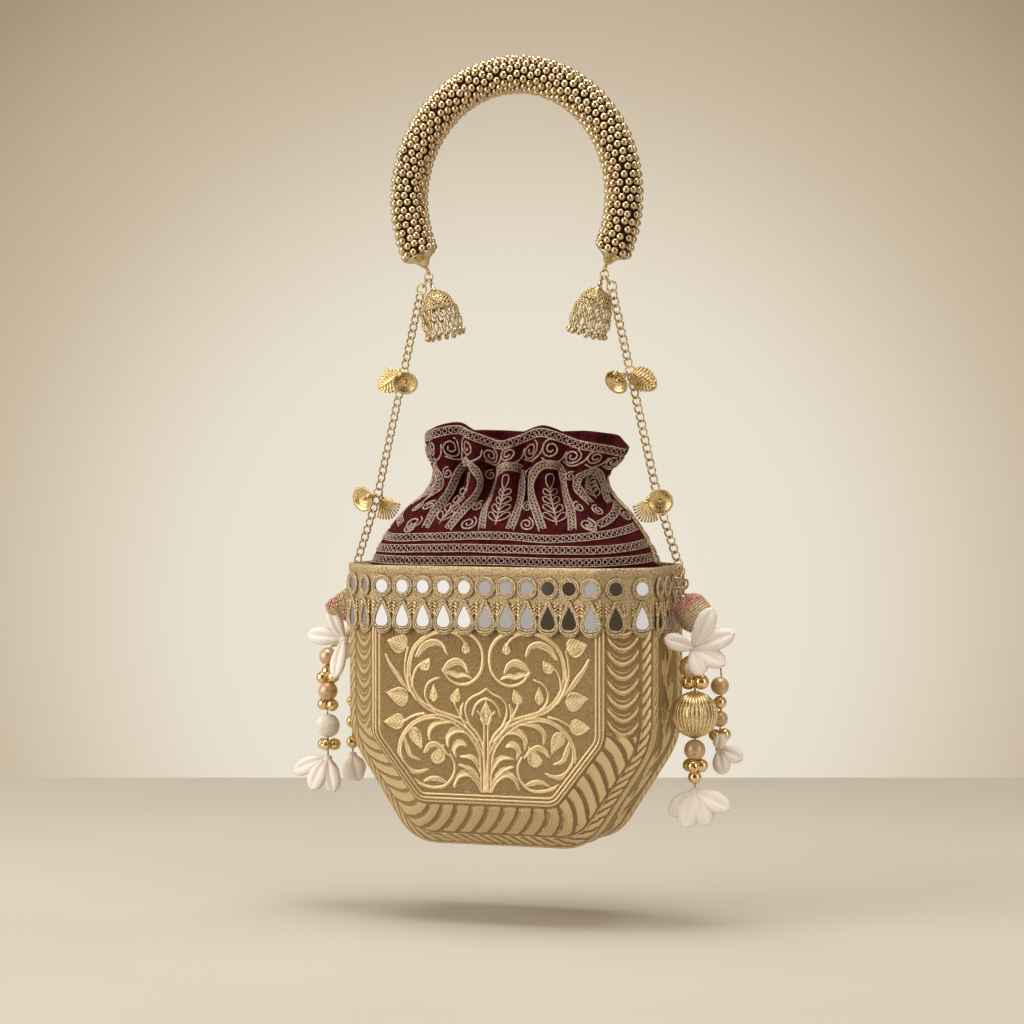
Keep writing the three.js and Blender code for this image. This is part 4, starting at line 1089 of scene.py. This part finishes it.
def trim():
    """Tape, cut mirrors in two rings of cord each, and ribs between them."""
    frames = list(boss_frames())
    trim_tape(frames)
    a = circle(20)
    forms = (  # outline, height, scale and wire of each cord, size of the glass
        (5.3 * np.c_[np.cos(a), np.sin(a)], TRIM["round_z"], ((0.96, 0.6), (0.76, 0.56)), 0.64),
        (drop_outline(), TRIM["drop_z"], ((0.95, 0.6), (0.78, 0.56)), 0.66),
    )
    rib = [
        tube([(2.4 + 0.35 * k, -0.4, 4.4 - 1.75 * k), (5.5, -0.4, 6.9 - 1.75 * k)], 0.62, 5)
        for k in range(4)
    ]
    rng = np.random.default_rng(12)
    bezels, mirrors, ribs = [], [], []
    for x, y, _, wall, lean in frames:
        for flat, z, cords, glass_size in forms:
            place = shift(x, y, z) @ wall
            for scale, wire in cords:
                path = np.c_[flat[:, 0] * scale, np.full(len(flat), -0.75), flat[:, 1] * scale]
                bezels.append(moved(tube(path, wire, 6, closed=True), place))
            fan = np.array([(0, i + 1, (i + 1) % len(flat) + 1) for i in range(len(flat))])
            disc = np.insert(np.c_[flat[:, 0], 0 * flat[:, 0], flat[:, 1]], 0, 0, axis=0)
            tilt = turn(rng.uniform(-1.5, 1.5), "X") @ turn(lean + rng.uniform(-0.5, 0.5), "Z")
            mirrors.append(moved((disc * glass_size, fan), place @ shift(0, -0.8, 0) @ tilt))
            bezels.append(moved((disc * 0.85 + (0, -0.3, 0), fan), place))
        for half in (1, -1):
            ribs += [moved(s, shift(x, y, TRIM["drop_z"] + 1) @ wall) for s in sided(rib, half)]
    piece("trim_bezels", bezels, BEZEL, "box")
    piece("trim_ribs", ribs, RIBS, "box")
    piece("trim_mirrors", mirrors, MIRROR, "box")


def smooth_corners(corners):
    """Rounds a closed loop of corners."""
    neighbours = zip(np.roll(corners, 1, 0), corners, np.roll(corners, -1, 0))
    return np.concatenate([rounded_corner(*three, radius=5.0, steps=5) for three in neighbours])


def side_loops():
    wall, far, high, low, bend = (SIDE_LOOP[key] for key in ("wall", "far", "high", "low", "bend"))
    route = smooth_path([(wall, 0, high), (far - bend, 0, high), (far, 0, high - bend), (far, 0, low + bend),
                         (far - bend, 0, low), (wall, 0, low)], 0.5)
    for name, side in SIDES.items():
        piece(f"{name}_loop_wire", sided([tube(route, SIDE_LOOP["wire"], 8)], side), PALE_GOLD, "box",
              [f"{name}_side_loop"])


# ---- pouch ----
POUCH_COLUMNS, POUCH_ROWS = 324, 62


def smooth_value(at, xs, ys):
    """Cubic through a table of values at xs."""
    last = len(xs) - 1
    i = int(np.clip(np.searchsorted(xs, at) - 1, 0, last - 1))
    h = xs[i + 1] - xs[i]
    t = (at - xs[i]) / h

    def slope(k):
        before, after = max(k - 1, 0), min(k + 1, last)
        return (ys[after] - ys[before]) / (xs[after] - xs[before]) * h

    ends = (2 * t**3 - 3 * t**2 + 1) * ys[i] + (-2 * t**3 + 3 * t**2) * ys[i + 1]
    return ends + (t**3 - 2 * t**2 + t) * slope(i) + (t**3 - t**2) * slope(i + 1)


def oval_section(x_half, y_half, columns):
    """Points at the given shares of the way round a rounded oval, from its +X end, and the directions out."""
    fine = np.linspace(0, TAU, 1441)
    rounded = lambda v: np.sign(v) * np.abs(v) ** 0.72
    path = np.c_[x_half * rounded(np.cos(-fine)), y_half * rounded(np.sin(-fine))]
    walked = walk(path)
    point = np.stack([np.interp(columns * walked[-1], walked, path[:, k]) for k in (0, 1)], -1)
    ahead = np.roll(point, -1, 0) - np.roll(point, 1, 0)
    out = unit(np.stack([-ahead[:, 1], ahead[:, 0]], -1))
    return point, np.where(((out * point).sum(1) > 0)[:, None], out, -out)


def pouch_grid():
    """Outer skin of the pouch: rows from below the rim up to the ruffle's edge, columns round it.

    Column 0 is the right side seam, a quarter of them is the front's middle and a half the left seam."""
    rings, ruffle = np.array(POUCH_RINGS), np.array(RUFFLE)
    neck_z, ruffle_start, top = -203, -206, rings[-1, 0]
    levels = np.linspace(rings[0, 0], top, POUCH_ROWS)
    columns = np.arange(POUCH_COLUMNS) / POUCH_COLUMNS
    place = 1 - 4 * columns
    place = np.where(place < -1, place + 4, place)
    lift = np.array([smooth_value(s, ruffle[:, 0], ruffle[:, 1]) for s in place])
    phase = TAU * columns
    gather = np.cos(FOLDS * phase - 0.4 * np.sin(2 * phase)) * (0.8 + 0.2 * np.sin(3 * phase + 2))
    crumple = 0.3 * np.sin(phase * 29 + 1.3 * np.sin(phase * 5)) + 0.16 * np.sin(phase * 47 + 2)
    calm_at_seams = 1 - 0.7 * np.abs(np.cos(phase)) ** 8
    rows = []
    for z in levels:
        x_half, y_half, offset, fold = (smooth_value(z, rings[:, 0], rings[:, k]) for k in (1, 2, 3, 4))
        point, out = oval_section(x_half, y_half, columns)
        sway = 0.0875 * np.sin(z / 9 + 4 * phase)
        push = fold * (gather + crumple * ridge(z - neck_z, 16) + sway) * calm_at_seams
        rise = lift * np.clip((z - ruffle_start) / (top - ruffle_start), 0, 1) ** 1.5
        rows.append(np.c_[point + out * push[:, None] + (offset, 0), z + rise])
    return np.array(rows), levels


class Skin:
    """Looks up places on the pouch: s runs round it, z is the height before the ruffle's wave."""

    def __init__(self, rows, levels):
        self.rows, self.levels = rows, levels
        ahead = np.roll(rows, -1, 1) - np.roll(rows, 1, 1)
        up = np.gradient(rows, axis=0)
        normal = unit(np.cross(ahead, up))
        middle = rows.mean(1, keepdims=True)
        facing = ((rows - middle)[..., :2] * normal[..., :2]).sum(-1).mean()
        self.normals = normal if facing > 0 else -normal

    def at(self, s, z):
        """s is -1 at the left seam, 0 in front, 1 at the right seam, and runs on to 3 round the back."""
        column = ((1 - np.asarray(s, float)) * 0.25 % 1.0) * POUCH_COLUMNS
        row = np.clip(np.interp(z, self.levels, np.arange(len(self.levels))), 0, len(self.levels) - 1.001)
        c0, r0 = np.floor(column).astype(int), np.floor(row).astype(int)
        fc, fr = (column - c0)[:, None], (row - r0)[:, None]
        c0, c1 = c0 % POUCH_COLUMNS, (c0 + 1) % POUCH_COLUMNS

        def blend(table):
            low = table[r0, c0] * (1 - fc) + table[r0, c1] * fc
            high = table[r0 + 1, c0] * (1 - fc) + table[r0 + 1, c1] * fc
            return low * (1 - fr) + high * fr

        return blend(self.rows), unit(blend(self.normals))


S_SCALE = 62.0  # millimetres round the neck for one unit of s
CORD_LIFT = 0.25  # height of the embroidery's cords over the skin


def on_skin(skin, points, step, closed=False):
    """Smooth path on the skin through (s, z) points: its places and their normals."""
    path = smooth_path(np.array(points, float) * (S_SCALE, 1), step, closed)
    return skin.at(path[:, 0] / S_SCALE, path[:, 1])


def cord_on(skin, points, radius, step=1.0, closed=False):
    """Cord laid on the skin through (s, z) points."""
    path, normals = on_skin(skin, points, step, closed)
    return tube(path + normals * CORD_LIFT, radius, 5, closed, normals)


def band_on(skin, points, half=2.0, columns=1, size=1.35):
    """Embroidered band: two cords with rows of eyelets between them."""
    path, normals = on_skin(skin, points, 1.1)
    across = unit(np.cross(normals, unit(np.gradient(path, axis=0))))
    raised = path + normals * CORD_LIFT
    shapes = [tube(raised + across * s, 0.34, 5, normals=normals) for s in (-half, half)]
    walked = walk(path)
    a = circle(9)
    for column in range(columns):
        side = (column - (columns - 1) / 2) * 2 * size
        stops = np.arange(1.3 + column * 1.2, walked[-1] - 0.5, 2.35 * size)
        at_stops = lambda values: np.stack([np.interp(stops, walked, values[:, k]) for k in range(3)], -1)
        centres, ups = at_stops(path), unit(at_stops(normals))
        for centre, up, ahead in zip(centres, ups, unit(np.gradient(centres, axis=0))):
            aside = np.cross(up, ahead)
            middle = centre + up * 0.3 + aside * side
            eyelet = middle + size * (0.88 * np.cos(a)[:, None] * ahead + np.sin(a)[:, None] * aside)
            shapes.append(tube(eyelet, 0.3, 4, closed=True, normals=up[None]))
    return shapes


def spiral_on(skin, s, z, size, turns=1.6, direction=1):
    t = np.linspace(0, 1, int(16 * turns))
    radius = size * (1 - 0.8 * t)
    a = direction * (TAU * turns * t) + 1.2
    points = np.c_[s + radius * np.cos(a) / S_SCALE, z + radius * np.sin(a)]
    return [cord_on(skin, points, 0.45)]


def loop_on(skin, s, z, angle, length, width):
    """Small pointed loop, a leaf of the sprays."""
    t = np.linspace(0, 1, 15)[:-1]
    u = (1 - np.cos(TAU * t)) / 2 * length
    v = np.sin(TAU * t) * width * (0.4 + 0.6 * u / length)
    a = math.radians(angle)
    points = np.c_[s + (u * math.cos(a) - v * math.sin(a)) / S_SCALE, z + u * math.sin(a) + v * math.cos(a)]
    return [cord_on(skin, points, 0.36, 0.9, closed=True)]


def spray_on(skin, s, z, height, lean):
    """Stem with pairs of leaf loops and one at its tip."""
    stem = [(s, z), (s + lean * 0.5, z + height * 0.5), (s + lean, z + height)]
    shapes = [cord_on(skin, stem, 0.42)]
    for k in range(4):
        share = 0.1 + 0.24 * k
        for side in (-1, 1):
            shapes += loop_on(skin, s + lean * share, z + height * share, 90 - side * 48, 6.2 - 0.7 * k, 1.7)
    return shapes + loop_on(skin, s + lean, z + height, 90, 7.5, 2.2)


BANDS = (  # routes of the ringed bands on one face, as (s, height)
    ((-0.97, -241.4), (-0.5, -241.8), (0, -241.2), (0.5, -241.8), (0.97, -239.6)),
    ((-0.97, -236), (-0.6, -236), (-0.2, -235), (0.2, -235.4), (0.6, -235.4), (0.97, -232.4)),
    ((-0.97, -228), (-0.7, -230.4), (-0.4, -229.6), (0, -228.6), (0.35, -230), (0.65, -228), (0.97, -223.6)),
    ((-0.97, -214.5), (-0.84, -219.5), (-0.7, -223.5)),
    ((0.66, -223), (0.8, -218.5), (0.97, -211.5)),
)
SPIRALS_BETWEEN = (  # height, size, turns and direction of the spirals between two arches
    (-197.5, 2.8, 1.5, 1), (-222.6, 3.4, 1.7, -1), (-213.8, 2.6, 1.5, 1),
)
ODD_SPIRALS = (  # s, height, size
    (-0.93, -222.8, 3.4), (0.72, -215.5, 2.6), (0.93, -218.2, 3.2), (0.97, -204, 3.0), (-0.97, -205, 3.0),
    (-0.7, -214.5, 2.8), (0.62, -224.5, 2.2), (-0.6, -225.5, 2.4),
)


def edge_work(skin, s0):
    """Band along the ruffle's edge, with a row of spirals and curls under it."""
    shapes = band_on(skin, [(s0 - 0.97 + 0.194 * i, -179.6) for i in range(11)])
    for k in range(11):
        s = s0 - 0.9 + 0.18 * k
        flip = 1 if k % 2 else -1
        curl = [(s - 0.05, -190.2), (s + 0.03, -191.8), (s + 0.1, -189.2), (s + 0.12, -184.8)]
        shapes += [*spiral_on(skin, s, -186.2 + 0.5 * flip, 4.5, 1.8, flip), cord_on(skin, curl, 0.48)]
    return shapes


def arch_on(skin, centre, top, foot):
    """Pointed arch of ringed band with a spray inside."""
    half = 0.145
    waist = foot * 0.55 + top * 0.45
    leg = [(half * 0.62, foot), (half * 0.96, waist), (half, top - 9), (half * 0.82, top - 3.6),
           (half * 0.44, top - 0.8)]
    route = [(-s, z) for s, z in leg] + [(0, top)] + leg[::-1]
    arch = band_on(skin, [(centre + s, z) for s, z in route], 2.0, 2, 0.88)
    return arch + spray_on(skin, centre, foot + 2.5, (top - foot) * 0.56, 0.01)


def embroidery(skin, s0):
    """One face of the pouch; s0 is 0 on the front and 2 on the back."""
    shapes = edge_work(skin, s0)
    for route in BANDS:
        shapes += band_on(skin, [(s0 + s, z) for s, z in route])
    for k, centre in enumerate((-0.8, -0.4, 0.0, 0.4, 0.8)):
        shapes += arch_on(skin, s0 + centre, *((-192.5, -225.5) if 0 < k < 4 else (-194, -212)))
        if k < 4:
            for spiral in SPIRALS_BETWEEN:
                shapes += spiral_on(skin, s0 + centre + 0.2, *spiral)
    for s, z, size in ODD_SPIRALS:
        shapes += spiral_on(skin, s0 + s, z, size, 1.6, 1 if s > 0 else -1)
    return shapes


def pouch():
    rows, levels = pouch_grid()
    skin = Skin(rows, levels)
    inner = rows - skin.normals * 1.2
    lip = (rows[-1:] + inner[-1:]) / 2 + (0, 0, 0.5)
    wall = np.concatenate([rows, lip, inner[::-1], rows[:1]])
    shape = skin_of(wall, wrap=True)
    cloth_piece = piece("pouch_cloth", [outwards(shape)], VELVET, "box", ["pouch"])
    front = piece("pouch_embroidery_front", embroidery(skin, 0.0), THREAD, "box")
    back = piece("pouch_embroidery_back", embroidery(skin, 2.0), THREAD, "box")
    for name, side in SIDES.items():
        path, normals = skin.at(np.full(40, float(side)), np.linspace(-243, -206.5, 40))
        raised = path + normals * 0.6
        shapes = [tube(raised + (0, offset, 0), 0.85, 7, normals=normals) for offset in (-1.1, 1.1)]
        piece(f"{name}_seam_piping", shapes, PIPING, "box", [f"{name}_piping"])


# ---- tassels ----
def petal(length, width):
    """Folded cloth petal along +X, its good side up: puffed, creased down the middle, round at the end."""
    rows, columns, widest = 16, 13, 0.6
    v = np.linspace(0, 1, rows)[:, None]
    u = np.linspace(-1, 1, columns)[None]
    swell = 0.28 + 0.72 * np.sin(math.pi / 2 * np.clip(v / widest, 0, 1)) ** 1.3
    tip = np.sqrt(np.clip(1 - (np.clip(v - widest, 0, 1) / (1 - widest)) ** 2, 0.0004, 1))
    body = np.sqrt(hump(u)) * np.sin(math.pi * (0.06 + 0.9 * v)) ** 0.6
    crease = 1.5 * ridge(u, 0.22) * np.clip(np.sin(math.pi * v), 0, 1) ** 0.8
    bend = 1.2 * np.sin(math.pi * v) - 1.0 * v**2
    x, y = length * v + 0 * u, width / 2 * swell * tip * u
    upper, under = 2.3 * body - crease + bend, bend - 1.3 * body
    return closed_plate(np.stack([x, y, upper], -1), np.stack([x, y, under], -1))


def facing(direction, towards_front):
    """Turns a petal to point along a direction with its good side to the front or to the back."""
    x = unit(np.array(direction, float))
    face = np.array((0.35 * x[0], -1.0 if towards_front else 1.0, 0.35))
    z = unit(face - x * (face @ x))
    return Matrix(np.c_[x, np.cross(z, x), z].tolist()).to_4x4()


def blossom(petals, heart=2.4):
    """Flower of petals round a small heart; those that point well to the back show their good side there."""
    shapes = [moved(petal(length, width), facing((x, y, z), y <= 0.2)) for x, y, z, length, width in petals]
    return shapes + [moved(ball(heart, 14, 9), Matrix.Scale(0.8, 4, (0, 0, 1)))]


def cushion(size, swell):
    """Puffed three-cornered bead lying in the XZ plane, point up."""
    rows, segments = 16, 48
    a = circle(segments)
    corner = 0.5 + 0.5 * np.cos(3 * (a - math.pi / 2))
    radius = size * (0.66 + 0.34 * corner**1.4)
    t = np.linspace(0, math.pi, rows)[:, None]
    x = np.sin(t) ** 0.7 * (radius * np.cos(a))[None]
    z = np.sin(t) ** 0.7 * (radius * np.sin(a))[None]
    y = np.cos(t) * 4.6 * swell * np.ones(segments)
    return outwards(skin_of(np.stack([x, y, z], -1), wrap=True))


def seed_beads(shape, spacing, radius, seed, keep=lambda spot: True):
    """Small beads set over a closed shape, where keep says so, none closer to another than the spacing."""
    points, faces = shape
    rng = np.random.default_rng(seed)
    a, b, c = points[faces[:, 0]], points[faces[:, 1]], points[faces[:, 2]]
    area = np.linalg.norm(np.cross(b - a, c - a), axis=1)
    tries = 5000
    pick = rng.choice(len(faces), tries, p=area / area.sum())
    u, v = rng.random((2, tries, 1))
    u, v = np.where(u + v > 1, 1 - u, u), np.where(u + v > 1, 1 - v, v)
    spots = a[pick] + u * (b - a)[pick] + v * (c - a)[pick]
    kept = []
    for spot in filter(keep, spots):
        if not kept or np.min(np.linalg.norm(np.array(kept) - spot, axis=1)) > spacing:
            kept.append(spot)
    small = ball(radius, 7, 5)
    return [moved(small, shift(*spot)) for spot in kept]


def barrel_radius(share):
    """Radius of the coiled bead as a share of its greatest, share from -1 at one end to 1 at the other."""
    return (1 - abs(share) ** 2.4) ** 0.5


def coiled_bead():
    """Cloth bead wound with cord: its core and coils, and the rings of rose beads over its upper end."""
    place = turn(-38, "Y") @ Matrix.Scale(0.62, 4, (0, 1, 0))
    profile = [(max(0.01, 8.6 * barrel_radius(t)), 9.6 * t) for t in np.linspace(1, -1, 15)]
    shapes = [lathe([(0, 9.6), *profile, (0, -9.6)], 32)]
    turns, bare, half_length = 15, 0.3, 9.8
    for k in range(turns):
        share = (k + 0.5) / turns
        if share >= bare:
            t = 2 * share - 1
            coil = ring(9.0 * barrel_radius(t), 0.66, "z", steps=32, sides=7)
            shapes.append(moved(coil, shift(0, 0, -half_length * t)))
    rose = []
    for k in range(6):
        t = -0.97 + (k + 0.5) * 0.1
        r = 9.3 * barrel_radius(t)
        count = max(3, int(TAU * r / 1.5))
        for i in range(count):
            a = TAU * (i + 0.5 * (k % 2)) / count
            spot = place @ Vector((r * math.cos(a), r * math.sin(a), -half_length * t))
            rose.append(moved(ball(0.66, 7, 5), shift(*spot)))
    return [moved(s, place) for s in shapes], rose


def beaded_bead():
    """Three-cornered cloth bead: core and seed beads, and rose seed beads at its foot and one corner."""
    tilt = turn(-21, "Y")
    core = moved(cushion(9.8, 0.92), tilt)
    rose_zone = lambda p: p[2] < -5 or (p[0] > 3 and p[2] > 0)
    rose = seed_beads(moved(cushion(10.4, 1.04), tilt), 1.15, 0.6, 5, rose_zone)
    return [core, *seed_beads(core, 1.05, 0.62, 3)], rose


def melon(diameter):
    """Fluted ball: wire ribs from pole to pole round a solid core."""
    radius = diameter / 2
    a = np.linspace(0.1, math.pi - 0.1, 15)
    profile = np.c_[np.sin(a), np.cos(a)] * (radius - 0.9)
    poles = [(1.1, radius * 0.5), (1.1, -radius * 0.5)]
    b = np.linspace(0.1, math.pi - 0.1, 24)
    waves = radius - 0.8 + 0.1 * np.cos(np.arange(24) * math.pi)
    route = np.c_[np.sin(b) * waves, np.zeros(24), np.cos(b) * waves]
    rib = tube(route, 0.78, 7, normals=np.array([[0, 1.0, 0]]))
    ends = [moved(ring(2.0, 0.6, "z"), shift(0, 0, s * (radius - 0.5))) for s in (-1, 1)]
    return [lathe([poles[0], *profile, poles[1], poles[0]], 44), *around(rib, 32), *ends]


def strung(beads, place, template, rng):
    """Bored beads at their places on a strand, each turned its own way."""
    shapes = []
    for x, y, z, diameter in beads:
        tilt = turn(rng.uniform(60, 120), "X") @ turn(rng.uniform(-35, 35), "Y")
        size = Matrix.Scale(diameter / 2, 4)
        shapes.append(moved(template, shift(place[0] + x, place[1] + y, z) @ tilt @ size))
    return shapes


def thread(place, end):
    """Thread of a strand, from inside the top flower to the flower at its end."""
    top = TOP_FLOWER_Z - 3.0
    x, y = place
    start = (BEAD_X + 0.1 * (x - BEAD_X), y * 0.1, top)
    return tube(smooth_path([start, (x, y, top - 6), (x, y, end + 2)], 2), 0.5, 6)


def tassel_head(name, side):
    """Hook, cloth bead and top flower."""
    body = f"{name}_tassel"
    left = name == "left"
    covered, rose = beaded_bead() if left else coiled_bead()
    place = shift(BEAD_X, 0, BEAD_Z) @ turn(-15 if left else 6, "Z")
    piece(f"{name}_cloth_bead", sided(covered, side, place), GLITTER if left else COIL, body,
          [f"{name}_tassel_bead"])
    piece(f"{name}_rose_beads", sided(rose, side, place), ROSE, body)
    x, z = TASSEL_HOOK["x"], TASSEL_HOOK["z"]
    hook = moved(ring(TASSEL_HOOK["radius"], TASSEL_HOOK["wire"], "x"), shift(x, 0, z))
    foot = z - TASSEL_HOOK["radius"] + 0.05
    route = smooth_path([(x, 0, foot), (x + 2.5, 0, foot - 1.9), (x + 5, 0, foot - 4.4)], 0.8)
    tie = tube(route, TASSEL_HOOK["tie"], 7)
    piece(f"{name}_tassel_hook", sided([hook, tie], side), PALE_GOLD, body)
    petals = sided(blossom(FLOWERS["top"][name], 2.6), side, shift(BEAD_X, 0, TOP_FLOWER_Z))
    piece(f"{name}_top_petals", petals, PETAL, body, [f"{name}_tassel_top_flower"])


def tassel_strands(name, side):
    """Both strands with their beads, the large ball and the flowers at their ends."""
    spec, body = TASSELS[name], f"{name}_strands"
    main, second = spec["main"], spec["second"]

    def add(part, shapes, material, nodes):
        stands_for = [f"{name}_{n}" for n in nodes]
        piece(f"{name}_{part}", sided(shapes, side), material, body, stands_for)

    rng = np.random.default_rng(21)
    shiny, pearl = bored(1.0, 0.2, 24, 13), bored(1.0, 0.1, 28, 15)
    small = [b for b in spec["second_beads"] if b[3] <= LARGEST_SHINY]
    large = [b for b in spec["second_beads"] if b[3] > LARGEST_SHINY]
    add("shiny_beads", strung(spec["shiny"], main, shiny, rng), SHINY, [])
    add("pearls", strung(spec["pearls"], main, pearl, rng), PEARL, ["main_strand"])
    add("second_shiny", strung(small, second, shiny, rng), SHINY, ["second_strand"])
    if large:
        add("second_pearls", strung(large, second, pearl, rng), PEARL, [])
    threads = [thread(main, spec["flower"]), thread(second, spec["second_flower"])]
    add("threads", threads, PIPING, [])
    z, diameter = spec["ball"]
    at_ball = shift(*main, z)
    if name == "left":
        flocked = moved(bored(diameter / 2, 1.0, 40, 24), at_ball)
        add("flocked_ball", [flocked], FLOCK, ["tassel_ball"])
    else:
        add("melon_ball", [moved(s, at_ball) for s in melon(diameter)], MELON, ["tassel_ball"])
    for part, place, height in (("bottom", main, spec["flower"]), ("second", second, spec["second_flower"])):
        petals = [moved(s, shift(*place, height)) for s in blossom(FLOWERS[part][name])]
        add(f"{part}_petals", petals, PETAL, [f"{part}_flower"])


# ---- stage, light and camera ----
def stage():
    """Pale table, its far edge square to the camera."""
    size, level = 0.66, -0.4285
    corners = [(-2 * size, -size, 0), (2 * size, -size, 0), (2 * size, size, 0), (-2 * size, size, 0)]
    mesh = bpy.data.meshes.new("floor")
    mesh.from_pydata(corners, [], [(0, 1, 2, 3)])
    floor = in_scene("floor", mesh)
    floor.location = (0, 0, level)
    floor.rotation_euler = (0, 0, math.radians(VIEW["azimuth"]))
    paint = surface("floor paint", (0.55, 0.53, 0.46), 0.75)
    tint(paint, grain(paint, 3.0, 2.0).outputs["Fac"], ((0.545, 0.52, 0.465), (0.585, 0.56, 0.505)))
    mesh.materials.append(paint)


BACKDROP = (  # degrees away from the brightest spot behind the object, colour
    (0, (0.86, 0.79, 0.67)), (5.4, (0.81, 0.745, 0.62)), (7.6, (0.7, 0.62, 0.49)), (9.0, (0.62, 0.52, 0.39)),
    (10.4, (0.555, 0.45, 0.325)), (11.8, (0.49, 0.39, 0.27)), (13.6, (0.37, 0.29, 0.195)),
    (40, (0.42, 0.35, 0.26)), (95, (0.38, 0.27, 0.15)), (180, (0.1, 0.08, 0.055)),
)


def from_front(azimuth, elevation):
    """Direction towards a point seen from the origin, azimuth from the front to the right, in degrees."""
    a, e = math.radians(azimuth), math.radians(elevation)
    return Vector((math.sin(a) * math.cos(e), -math.cos(a) * math.cos(e), math.sin(e)))


def world():
    """Warm backdrop, brightest behind the object and darker all round it."""
    made = bpy.data.worlds.new("studio")
    bpy.context.scene.world = made
    made.use_nodes = True
    place = node(made, "ShaderNodeTexCoord")
    dot = node(made, "ShaderNodeVectorMath", operation="DOT_PRODUCT")
    join(made, place.outputs["Generated"], dot.inputs[0])
    dot.inputs[1].default_value = -from_front(VIEW["azimuth"], 3.2)
    angle = node(made, "ShaderNodeMath", operation="ARCCOSINE")
    join(made, dot.outputs["Value"], angle.inputs[0])
    share = times(made, angle.outputs[0], 1 / math.pi)
    colours = ramp(made, share, [(degrees / 180, colour) for degrees, colour in BACKDROP])
    join(made, colours, made.node_tree.nodes["Background"].inputs["Color"])


def aimed(made, azimuth, elevation, distance, target_z):
    """Puts a light or the camera at a distance from a point on the Z axis, looking at it."""
    back = from_front(azimuth, elevation)
    made.location = Vector((0, 0, target_z)) + back * distance
    made.rotation_euler = back.to_track_quat("Z", "Y").to_euler()


def softbox(name, azimuth, elevation, distance, width, height, power, colour=(1.0, 0.96, 0.88)):
    data = bpy.data.lights.new(name, "AREA")
    data.shape = "RECTANGLE"
    data.size, data.size_y = width, height
    data.energy = power
    data.color = colour
    aimed(in_scene(name, data), azimuth, elevation, distance, -0.22)


def lights():
    softbox("key", -47, 14, 1.7, 1.5, 1.7, 21)
    softbox("key_edge", -20.5, 14, 1.75, 0.24, 1.5, 1.3)
    softbox("right", 73, 14, 1.6, 0.6, 1.4, 5)
    softbox("left_rear", -115, 12, 1.6, 0.8, 1.4, 1.5)
    softbox("top", 0, 88, 1.3, 1.2, 0.9, 18, (1.0, 0.99, 0.95))


def camera():
    data = bpy.data.cameras.new("camera")
    data.lens = VIEW["lens"]
    data.sensor_width = 36
    data.shift_x = VIEW["shift"]
    made = in_scene("camera", data)
    aimed(made, VIEW["azimuth"], VIEW["elevation"], VIEW["distance"], VIEW["target_z"])
    bpy.context.scene.camera = made


# ---- everything ----
bpy.context.scene.view_settings.view_transform = "Standard"
camera()
stage()
world()
lights()

bead_net()
handle_ends()
hangers()
charms()
jhumkas()
box()
trim()
side_loops()
pouch()
for side_name, side_sign in SIDES.items():
    tassel_head(side_name, side_sign)
    tassel_strands(side_name, side_sign)

core = frame["nodes"]["handle_core"].data.materials
core.clear()
core.append(CORD)
